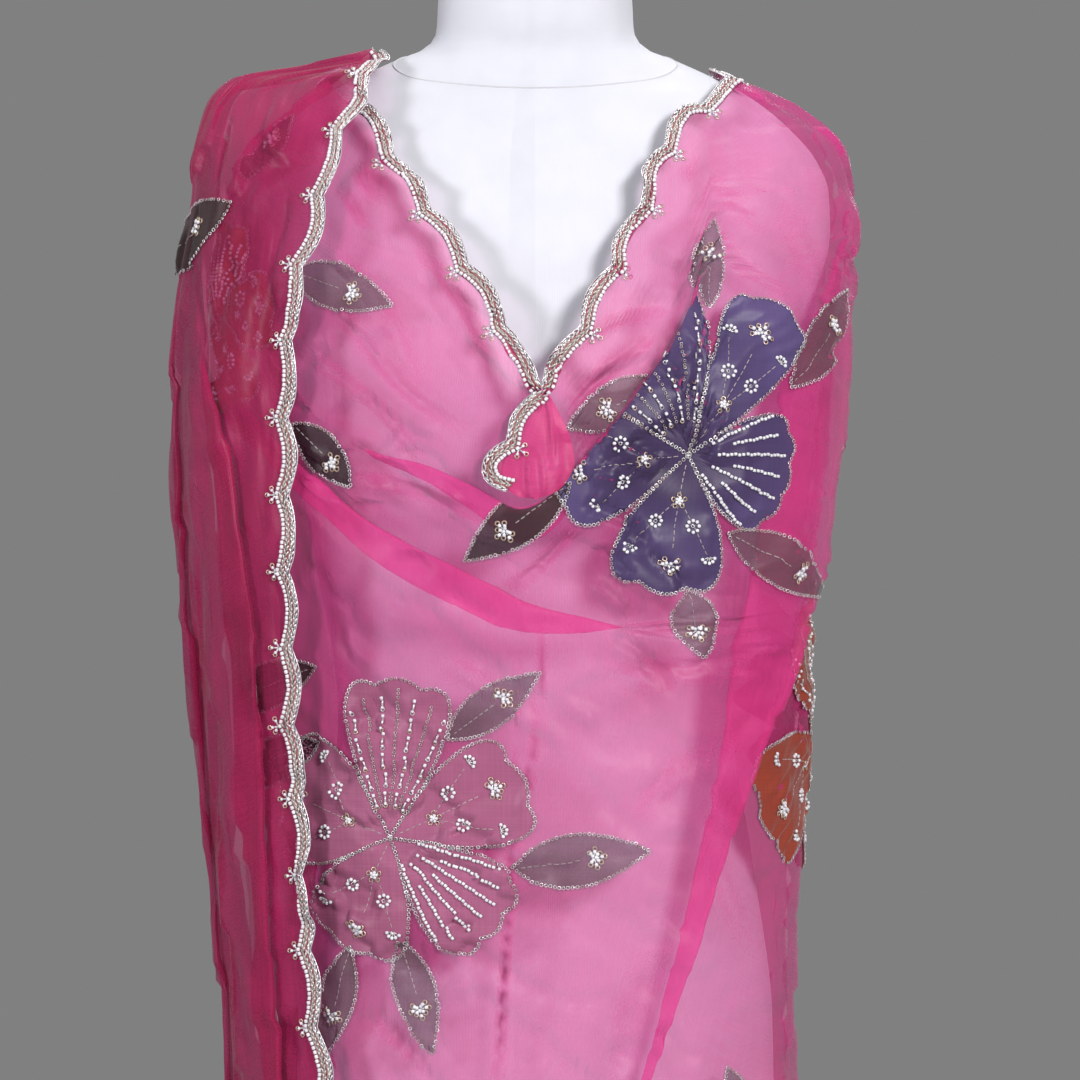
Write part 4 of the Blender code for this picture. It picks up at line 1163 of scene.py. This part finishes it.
def petal(sew, spot, row, pieces):
    across, out = np.linspace(-1, 1, PETAL_STEPS[0]), np.linspace(0, 1, PETAL_STEPS[1])
    flat = petal_place(row, across[:, None], out[None, :])
    patch(spot, flat[..., 0], flat[..., 1], pieces)
    sides = [petal_place(row, side, out) for side in (-1, 1)]
    rim = petal_place(row, across, 1.0)
    sew.outline(spot, np.concatenate([sides[0], rim[1:-1], sides[1][::-1]]))
    if row["work"] == SEQUIN_ROWS:
        sequin_rows(sew, spot, row)
    elif row["work"] == BEAD_ROWS:
        bead_rows(sew, spot, row)
    else:
        rosettes(sew, spot, row)


def sequin_rows(sew, spot, row):
    for k, across in enumerate(np.linspace(-0.78, 0.78, 7)):
        out = np.linspace(0.2, 0.93 - 0.1 * abs(across), 40)
        line = petal_place(row, across, out)
        if k % 2:
            places, headings = even_places(line, 2.4)
            sew.units(spot, RING, places, headings, DULL, 0.84, flat=True)
            continue
        places, headings = even_places(line, 3.8)
        for step, (place, heading) in enumerate(zip(places, headings)):
            if step % 3 == 0:
                sew.units(spot, RING, place, heading, SILVER if step % 2 else GOLD, 1.2, flat=True)
                sew.units(spot, SEED, place + 1.2 * heading, heading, BRIGHT_WHITE, 1.2, lift=2.0)
            elif step % 3 == 1:
                sew.units(spot, BUGLE, place, heading, SILVER, 1.0)
            else:
                sew.units(spot, BEAD, place, heading, BRIGHT_WHITE, 1.0)


def bead_rows(sew, spot, row):
    for k, across in enumerate(np.linspace(-0.84, 0.84, 7)):
        out = np.linspace(0.24 + 0.16 * (k % 2), 0.9 - 0.06 * (k % 2), 30)
        line = petal_place(row, across, out)
        places, headings = even_places(line, 2.35)
        aside = np.stack([-headings[:, 1], headings[:, 0]], axis=1)
        step = 0.3 * np.sin(np.arange(len(places)) * 2.1)[:, None]
        sew.units(spot, BEAD, places + aside * step, headings, BRIGHT_WHITE, 0.98)


def rosettes(sew, spot, row):
    heading = row["heading"]

    def at(across, out):
        return petal_place(row, across, out)

    sew.line(spot, [at(0, 0.06), at(0, 0.3), at(0.05, 0.68)])
    for side in (-1, 1):
        sew.line(spot, [at(0, 0.3), at(0.42 * side, 0.5), at(0.62 * side, 0.74)])
        wheel(sew, spot, at(0.42 * side, 0.52))
        half_wheel(sew, spot, at(0.64 * side, 0.76), heading + 14 * side)
    bloom(sew, spot, at(0, 0.32))
    spray(sew, spot, at(0.05, 0.78), heading)


def flower(name, stretch, middle, petals, material, sew, turn, size, edge):
    spot = Spot(stretch, *middle, edge=edge)
    pieces = []
    for row in rows_of(petals):
        row["heading"] += turn
        row["reach"] *= size
        petal(sew, spot, row, pieces)
    stretch.trims.append(patch_object(name, pieces, material))


def leaf(stretch, base, tip, half, sew, pieces, edge=None):
    """A pointed leaf from a base to a tip, both as (angle, height)."""
    spot = Spot(stretch, *base, edge=edge)
    right = np.interp(tip[0], spot.turn, spot.run) - spot.start
    run = np.array([right, tip[1] - base[1]])
    aside = unit(np.array([-run[1], run[0]])) * half
    out, across = np.linspace(0, 1, LEAF_STEPS[1]), np.linspace(-1, 1, LEAF_STEPS[0])

    def at(share_across, share_out):
        share_across, share_out = np.broadcast_arrays(share_across, share_out)
        wide = np.sin(math.pi * np.clip(share_out, 0, 1) ** 0.86) ** 0.9
        return share_out[..., None] * run + (share_across * wide)[..., None] * aside

    flat = at(across[:, None], out[None, :])
    patch(spot, flat[..., 0], flat[..., 1], pieces)
    sew.outline(spot, np.concatenate([at(-1.0, out), at(1.0, out[::-1])[1:]]))
    sew.line(spot, at(0.0, np.linspace(0.06, 0.52, 8)))
    spray(sew, spot, run * 0.6, math.degrees(math.atan2(run[1], run[0])))


# Border rows, as distances in from the scalloped outer edge.
BORDER_WIDTH = 9.6
BUGLE_COLUMNS = ((1.2, 14, SILVER), (2.5, -14, SILVER), (4.7, 14, DULL), (5.9, -14, DULL))
THREAD_COLUMNS = ((0.1, 0.4, SILVER), (3.6, 0.55, RED_THREAD), (6.9, 0.45, RED_THREAD))
WHITE_COLUMN = 8.3
BUGLE_PITCH, WHITE_PITCH = 3.4, 2.7
TAPE_LIFT, THREAD_LIFT, BUGLE_LIFT, WHITE_LIFT = 0.5, 0.9, 1.2, 1.4
# The edge is read at stations this far apart, each averaged over this reach.
STATION_PITCH, STATION_REACH = 5.0, 9.0
EDGE_RAY_START, EDGE_RAY_REACH = 5, 12
SPRIG_TURNS, SPRIG_STEM, SPRIG_END, LONGEST_SPRIG = (-48, 0, 48), 2.2, 5.4, 8


class Edging:
    """The scalloped border along one side of a stretch."""

    def __init__(self, stretch, side, part=(0.0, 1.0), trim=0.0):
        self.stretch = stretch
        edge, inward, normal = edge_of(stretch.points, side)
        run = run_along(edge)
        self.run = np.linspace(0, run[-1], max(4, round(run[-1] / STATION_PITCH)) + 1)
        near = np.exp(-(((self.run[:, None] - run) / STATION_REACH) ** 2)) * np.gradient(run)
        normal, inward = unit(near @ normal), unit(near @ unit(inward))
        self.edge = np.stack([np.interp(self.run, run, edge[:, k]) for k in range(3)], axis=1)
        self.first, self.last = part[0] * self.run[-1] + trim, part[1] * self.run[-1] - trim
        self.scallops = max(1, round((self.last - self.first) / SCALLOP_PITCH))
        self.pitch = (self.last - self.first) / self.scallops
        square = unit(np.cross(normal, unit(np.gradient(self.edge, axis=0))))
        square *= np.sign(np.sum(square * inward, axis=1, keepdims=True))
        self.square, self.normal = square, normal

    def read(self, values, at):
        return np.stack([np.interp(at, self.run, values[:, k]) for k in range(3)], axis=1)

    def place(self, at, inside, lift):
        """Points and normals at distances along the edge and in from its scallops."""
        at = np.asarray(at, float)
        normal, square = unit(self.read(self.normal, at)), unit(self.read(self.square, at))
        bulge = np.abs(np.sin(math.pi * (at - self.first) / self.pitch))
        offset = inside - BORDER_OUTSIDE - SCALLOP_DEPTH * bulge
        points = self.read(self.edge, at) + square * offset[:, None]
        for k in np.flatnonzero(offset > 0):
            start = Vector(points[k] + normal[k] * EDGE_RAY_START)
            hit = self.stretch.tree.ray_cast(start, Vector(-normal[k]), EDGE_RAY_REACH)
            if hit[0] is not None:
                points[k] = hit[0]
        return points + normal * lift, normal, square

    def strip(self, name, material):
        at = np.linspace(self.first, self.last, self.scallops * 12 + 1)
        rows = [self.place(at, inside, TAPE_LIFT)[0] for inside in np.linspace(0, BORDER_WIDTH, 6)]
        points = np.stack(rows, axis=1)
        faces = grid_faces(*points.shape[:2])
        return add_mesh(name, points.reshape(-1, 3), faces, [material], uvs=grid_uvs(points))

    def sew(self, beads, rng):
        long = self.last - self.first
        for inside, slant, number in BUGLE_COLUMNS:
            count = max(2, round(long / BUGLE_PITCH))
            at = self.first + (np.arange(count) + 0.5 * (slant > 0)) * long / count
            points, normals, squares = self.place(at, inside + rng.normal(0, 0.12, count), BUGLE_LIFT)
            ahead, _, _ = self.place(at + 1.0, inside, BUGLE_LIFT)
            lean = np.tan(np.radians(slant + rng.normal(0, 5, count)))
            for point, normal, square, towards, tilt in zip(points, normals, squares, ahead, lean):
                axis = unit(towards - point) + square * tilt
                beads.add(BUGLE, point, axis, normal, 0.95, number)
        for inside, radius, number in THREAD_COLUMNS:
            at = np.linspace(self.first, self.last, self.scallops * 14 + 1)
            points, normals, _ = self.place(at, inside + 0.25 * np.sin(at * 2.1), THREAD_LIFT)
            beads.thread(points, normals, radius, number)
        count = max(2, round(long / WHITE_PITCH))
        at = self.first + (np.arange(count) + 0.5) * long / count
        points, normals, _ = self.place(at, WHITE_COLUMN + rng.normal(0, 0.15, count), WHITE_LIFT)
        ahead, _, _ = self.place(at + 1.0, WHITE_COLUMN, WHITE_LIFT)
        for point, normal, towards in zip(points, normals, ahead):
            beads.add(BEAD, point, unit(towards - point), normal, 1.12, BRIGHT_WHITE)
        self.tips(beads)

    def tips(self, beads):
        """A small sprig at each point between scallops: three bugles with a ring sequin on each."""
        start = BORDER_WIDTH - 0.6
        for k in range(1, self.scallops):
            at = self.first + k * self.pitch
            for turn in SPRIG_TURNS:
                side, out = math.sin(math.radians(turn)), math.cos(math.radians(turn))
                ends = []
                for reach in (SPRIG_STEM, SPRIG_END):
                    points, normals, _ = self.place([at + side * reach], start + out * reach, BUGLE_LIFT)
                    ends.append((points[0], normals[0]))
                (stem, normal), (end, _) = ends
                if np.linalg.norm(end - stem) > LONGEST_SPRIG:
                    continue
                beads.add(BUGLE, stem, unit(end - stem), normal, 0.85, SILVER)
                beads.add(RING, end, normal, end - stem, 1.3, GOLD)
                beads.add(SEED, (stem + end) / 2 + normal * 0.8, unit(end - stem), normal, 1.2, BRIGHT_WHITE)


# Dress form
FORM_STOPS = (BODY_BOTTOM, 930.0, 1150.0, 1290.0, 1352.0, 1430.0, BODY_TOP)
FORM_ROWS = (14, 30, 36, 20, 60, 12)
SEAM_HEIGHTS = table(
    "angle height",
    (-180, 1431), (-120, 1429), (-90, 1427), (-60, 1419), (-30, 1409), (0, 1404), (30, 1409),
    (60, 1419), (90, 1427), (120, 1429), (180, 1431),
)
SEAM_RADIUS = 0.5


def form_ring(turn, height):
    sizes = {name: column(BODY_SECTIONS, name, height) for name in ("side", "front", "back", "shift")}
    x = sizes["side"] * signed_power(np.sin(turn), BODY_POWER)
    depth = np.where(np.cos(turn) > 0, sizes["front"], sizes["back"])
    y = -depth * signed_power(np.cos(turn), BODY_POWER)
    level = ((height - BUST_HEIGHT) / BUST_WIDTH) ** 2
    rise = sum(np.exp(-(((x - side * BUST_SPREAD) / BUST_WIDTH) ** 2) - level) for side in (-1, 1))
    y = y - BUST_RISE * rise * eased(np.cos(turn) / 0.2) + sizes["shift"]
    return np.stack([x, y, height + 0 * x], axis=-1)


def form_cover(material):
    heights = ladder(FORM_STOPS, FORM_ROWS)
    turn = 2 * math.pi * np.arange(BODY_STEPS_ROUND) / BODY_STEPS_ROUND
    rings = form_ring(turn[None, :], heights[:, None])
    count = BODY_STEPS_ROUND
    faces = [
        [r * count + k, r * count + (k + 1) % count, (r + 1) * count + (k + 1) % count, (r + 1) * count + k]
        for r in range(len(heights) - 1)
        for k in range(count)
    ]
    faces.append(list(range(count))[::-1])
    faces.append([(len(heights) - 1) * count + k for k in range(count)])
    run = np.concatenate([[0], np.cumsum(steps_of(rings).mean(axis=1))])
    uvs = np.stack([np.degrees(turn)[None, :] * 2 + 0 * run[:, None], run[:, None] + 0 * turn], axis=-1)
    uvs = uvs.reshape(-1, 2)
    cover = add_mesh("form_cover", rings.reshape(-1, 3), faces, [material], uvs=uvs)
    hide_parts("form_body")


def form_seams(material):
    """Sewn seams: one round the neck, and one down each side and the middle of the back."""
    seams = Scatter("form_seams", [material], "form_cloth")
    turn = np.linspace(-180, 180, 145)
    height = column(SEAM_HEIGHTS, "height", turn, key="angle")
    lines = [(np.radians(turn), height)]
    down = np.linspace(BODY_BOTTOM + 3, 1424, 160)
    lines += [(np.full_like(down, math.radians(angle)), down) for angle in (90, 180, 270)]
    for turned_to, level in lines:
        points = form_ring(turned_to, level)
        outward = points * (1, 1, 0)
        seams.thread(points + unit(outward) * 0.1, unit(outward), SEAM_RADIUS)
    seams.finish()


def make_looks():
    looks = {"steel": brushed_steel()}
    for name, tint, first, second, body in (
        ("organza", (1.0, 0.74, 0.90), (0.95, 0.065, 0.33), (0.86, 0.085, 0.36), (0.28, 0.38)),
        # the fall's organza: denser for its many layers, and darker in colour as painted shade where it
        # turns from the light
        ("organza_layers_and_painted_shade", (0.92, 0.55, 0.74), (0.52, 0.022, 0.125), (0.40, 0.016, 0.095), (0.40, 0.56)),
        ("organza_double", (0.95, 0.50, 0.72), (0.84, 0.040, 0.21), (0.74, 0.045, 0.22), (0.45, 0.58)),
        ("leaf_cloth", (0.85, 0.85, 0.85), (0.13, 0.12, 0.12), (0.10, 0.10, 0.10), (0.40, 0.50)),
        ("leaf_cloth_dark", (0.55, 0.55, 0.55), (0.030, 0.022, 0.022), (0.045, 0.03, 0.03), (0.62, 0.76)),
        ("plum_cloth", (0.60, 0.38, 0.52), (0.50, 0.155, 0.29), (0.40, 0.11, 0.215), (0.70, 0.84)),
        ("purple_cloth", (0.40, 0.28, 0.48), (0.050, 0.030, 0.092), (0.105, 0.075, 0.21), (0.84, 0.95)),
        ("rust_cloth", (0.60, 0.30, 0.25), (0.34, 0.055, 0.032), (0.50, 0.085, 0.035), (0.78, 0.92)),
    ):
        looks[name] = sheer(name, tint, first, second, body)
    for name, first, second, roughness, metallic in (
        ("white_beads", (0.92, 0.92, 0.95), (0.74, 0.72, 0.78), 0.25, 0.0),
        ("silver_bugles", (0.90, 0.88, 0.89), (0.62, 0.59, 0.61), 0.3, 0.55),
        ("dull_sequins", (0.50, 0.44, 0.43), (0.66, 0.60, 0.58), 0.34, 0.5),
        ("gold_sequins", (0.82, 0.66, 0.52), (0.62, 0.47, 0.36), 0.3, 0.5),
    ):
        looks[name] = shiny(name, first, second, roughness, metallic)
    for name, first, second, roughness, sheen, thread in (
        ("border_tape", (0.42, 0.045, 0.13), (0.34, 0.05, 0.12), 0.6, 0.3, 0.9),
        ("stitching", (0.50, 0.44, 0.44), (0.34, 0.28, 0.28), 0.5, 0.3, 0.9),
        ("border_thread", (0.50, 0.10, 0.14), (0.46, 0.22, 0.17), 0.5, 0.3, 0.9),
        ("form_cloth", (0.74, 0.75, 0.82), (0.71, 0.72, 0.79), 0.85, 0.1, 0.7),
        ("seam_thread", (0.60, 0.60, 0.64), (0.66, 0.66, 0.70), 0.9, 0.3, 0.9),
    ):
        looks[name] = fabric(name, first, second, roughness, sheen, thread, scale=40)
    return looks


def stretches(looks):
    points, crease_density_and_shade = front_surface()
    front = Stretch("organza_front", points, looks["organza"], crease_density_and_shade=crease_density_and_shade)
    back = Stretch("organza_back", back_surface(), looks["organza"], bundle=1.0)
    points, crease_density_and_shade = fall_surface()
    # the fall wears the darker organza, whose colour holds painted shade as well as its layers
    fall = Stretch("organza_fall", points, looks["organza_layers_and_painted_shade"], bundle=1.0, crease_density_and_shade=crease_density_and_shade)
    tail = Stretch("organza_tail", tail_surface(), looks["organza"])
    tuck = Stretch("organza_tuck", tuck_surface(), looks["organza_double"])
    return front, back, fall, tail, tuck


def leaves_on(name, stretch, rows, sew, looks):
    """All leaves of a table, as one piece of light ones and one of dark ones."""
    for dark, (tone, cloth) in enumerate((("leaf", "leaf_cloth"), ("leaf_dark", "leaf_cloth_dark"))):
        pieces = []
        for row in rows_of(rows):
            if row["dark"] != dark:
                continue
            edge = (None, above_neck_fold, below_neck_fold)[int(row.get("edge", 0))]
            if "angle" in row:
                base, tip = (row["angle"], row["height"]), (row["to_angle"], row["to_height"])
            else:
                base = (float(angle_at(row["across"], row["height"])), row["height"])
                tip = (float(angle_at(row["to_across"], row["to_height"])), row["to_height"])
            leaf(stretch, base, tip, row["half"], sew, pieces, edge)
        if pieces:
            stretch.trims.append(patch_object(f"{name}_{tone}", pieces, looks[cloth]))


def applique(front, back, fall, looks):
    """The leaves, flowers and beadwork of each stretch, sewn in this order because the draws follow it."""
    rng = np.random.default_rng(11)
    materials = [looks[name] for name in BEAD_LOOKS[:RED_THREAD]]
    flowers_front = (
        ("purple", (26.3, 1177), PURPLE_PETALS, "purple", 0, 1, below_neck_fold),
        ("plum", (-28, 948), PLUM_PETALS, "plum", 0, 1, None),
        ("rust", (92, 1005), RUST_PETALS, "rust", 0, 1, beyond_shoulder_fold),
    )
    flowers_low = (
        ("low", (14, 620), PURPLE_PETALS, "plum", 70, 0.9, None),
        ("under", (-75, 1262), PLUM_PETALS, "rust", 120, 0.7, None),
    )
    flowers_back = (
        ("rust_side", (92, 1005), RUST_PETALS, "rust", 0, 1, behind_seam),
        ("back_rust", (176, 1130), PLUM_PETALS, "rust", 10, 1, None),
        ("back_purple", (162, 880), PURPLE_PETALS, "purple", -40, 1, None),
        ("back_plum", (214, 765), PLUM_PETALS, "plum", 160, 1, None),
    )
    for name, stretch, leaves, flowers in (
        ("front", front, FRONT_LEAVES, flowers_front),
        ("front_low", front, None, flowers_low),
        ("fall", fall, FALL_LEAVES, ()),
        ("back", back, BACK_LEAVES, flowers_back),
    ):
        beads = Scatter(f"beadwork_{name}", materials, "beaded_border")
        sew = Needlework(beads, rng)
        if leaves:
            leaves_on(f"leaves_{name}", stretch, leaves, sew, looks)
        for kind, middle, petals, cloth, turn, size, edge in flowers:
            flower(f"petals_{kind}", stretch, middle, petals, looks[f"{cloth}_cloth"], sew, turn, size, edge)
        stretch.trims.append(beads.finish())


def edgings(front, back, fall, tail, tuck, looks):
    rng = np.random.default_rng(12)
    edge = front.points[:, 0]
    run = run_along(edge)
    middle = run[np.argmin(edge[:, 2])] / run[-1]
    materials = [looks[name] for name in BEAD_LOOKS]
    for name, node, stretch, side, part, trim in (
        ("neck_right", "border_neck_right", front, "top", (0.14, middle), 1),
        ("neck_left", "border_neck_left", front, "top", (middle, 1.0), 0),
        ("neck_back", "border_neck_back", back, "top", (0, 1), 3),
        ("tuck", "border_tuck", tuck, "start", (0.0, 0.9), 0),
        ("fall", "border_fall_edge", fall, "end", (0, 1), 1),
        ("hem_front", "border_hem_front", front, "hem", (0, 1), 1),
        ("hem_back", "border_hem_back", back, "hem", (0, 1), 1),
        ("hem_fall", None, fall, "hem", (0, 1), 1),
        ("tail_side", None, tail, "start", (0, 1), 1),
        ("tail_hem", None, tail, "hem", (0, 1), 1),
    ):
        edging = Edging(stretch, side, part, trim)
        tape = edging.strip(f"edging_{name}", looks["border_tape"])
        if node:
            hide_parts(node)
        stretch.trims.append(tape)
        if stretch is not tail:
            beads = Scatter(f"edging_{name}_beads", materials, "beaded_border")
            edging.sew(beads, rng)
            stretch.trims.append(beads.finish())


def declare(front, back, fall, tail, tuck):
    for stretch, node, held, rests_on in (
        (front, "front_stretch", "draped", ["form_cover"]),
        (back, "back_stretch", "draped", ["form_cover"]),
        (fall, "right_fall", "draped", ["organza_front"]),
        (tail, "back_tail", "draped", ["form_cover"]),
        (tuck, "neck_tuck", "folded", ["organza_front"]),
    ):
        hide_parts(node)
        wide, long, area = stretch.flat()


def aim(obj, target):
    obj.rotation_euler = (Vector(target) - obj.location).to_track_quat("-Z", "Y").to_euler()


def add_light(name, place, target, energy, size, colour=(1, 1, 1)):
    light = bpy.data.lights.new(name, "AREA")
    light.energy, light.size, light.color = energy, size, colour
    made = bpy.data.objects.new(name, light)
    made.location = place
    bpy.context.scene.collection.objects.link(made)
    aim(made, target)


def studio():
    scene = bpy.context.scene
    world = bpy.data.worlds.new("studio")
    world.use_nodes = True
    background = world.node_tree.nodes["Background"]
    background.inputs["Color"].default_value = (0.216, 0.216, 0.216, 1)
    background.inputs["Strength"].default_value = 1.0
    scene.world = world
    middle = (0, 0, 1.1)
    add_light("key", (1.3, -2.5, 2.1), middle, 68, 0.7, (1.0, 0.98, 0.97))
    add_light("fill", (-1.9, -1.9, 1.7), middle, 31, 0.5, (0.98, 0.98, 1.0))
    add_light("top", (0.2, 0.4, 2.9), middle, 16, 1.0)
    add_light("back", (0.6, 2.6, 2.0), middle, 20, 1.0)
    bpy.ops.mesh.primitive_circle_add(vertices=96, radius=2.0, fill_type="NGON", location=(0, 0, 0))
    floor = bpy.context.object
    floor.name = "floor"
    paint = fabric("floor_paint", (0.56, 0.56, 0.57), (0.53, 0.53, 0.54), 0.7, 0.0, 2.0, scale=3)
    floor.data.materials.append(paint)
    camera = bpy.data.cameras.new("camera")
    camera.lens, camera.sensor_width = 144.0, 36.0
    made = bpy.data.objects.new("camera", camera)
    made.location = (0.003, -2.69, 1.126)
    made.rotation_euler = (math.pi / 2, 0, 0)
    scene.collection.objects.link(made)
    scene.camera = made
    scene.view_settings.view_transform = "Standard"
    scene.cycles.transparent_max_bounces = 16
    scene.cycles.max_bounces, scene.cycles.diffuse_bounces, scene.cycles.glossy_bounces = 2, 1, 1


def main():
    looks = make_looks()
    front, back, fall, tail, tuck = stretches(looks)
    form_cover(looks["form_cloth"])
    form_seams(looks["seam_thread"])
    for node in ("stand_pole", "stand_base"):
        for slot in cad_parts[node].material_slots:
            slot.material = looks["steel"]
    edgings(front, back, fall, tail, tuck, looks)
    applique(front, back, fall, looks)
    declare(front, back, fall, tail, tuck)
    studio()


main()
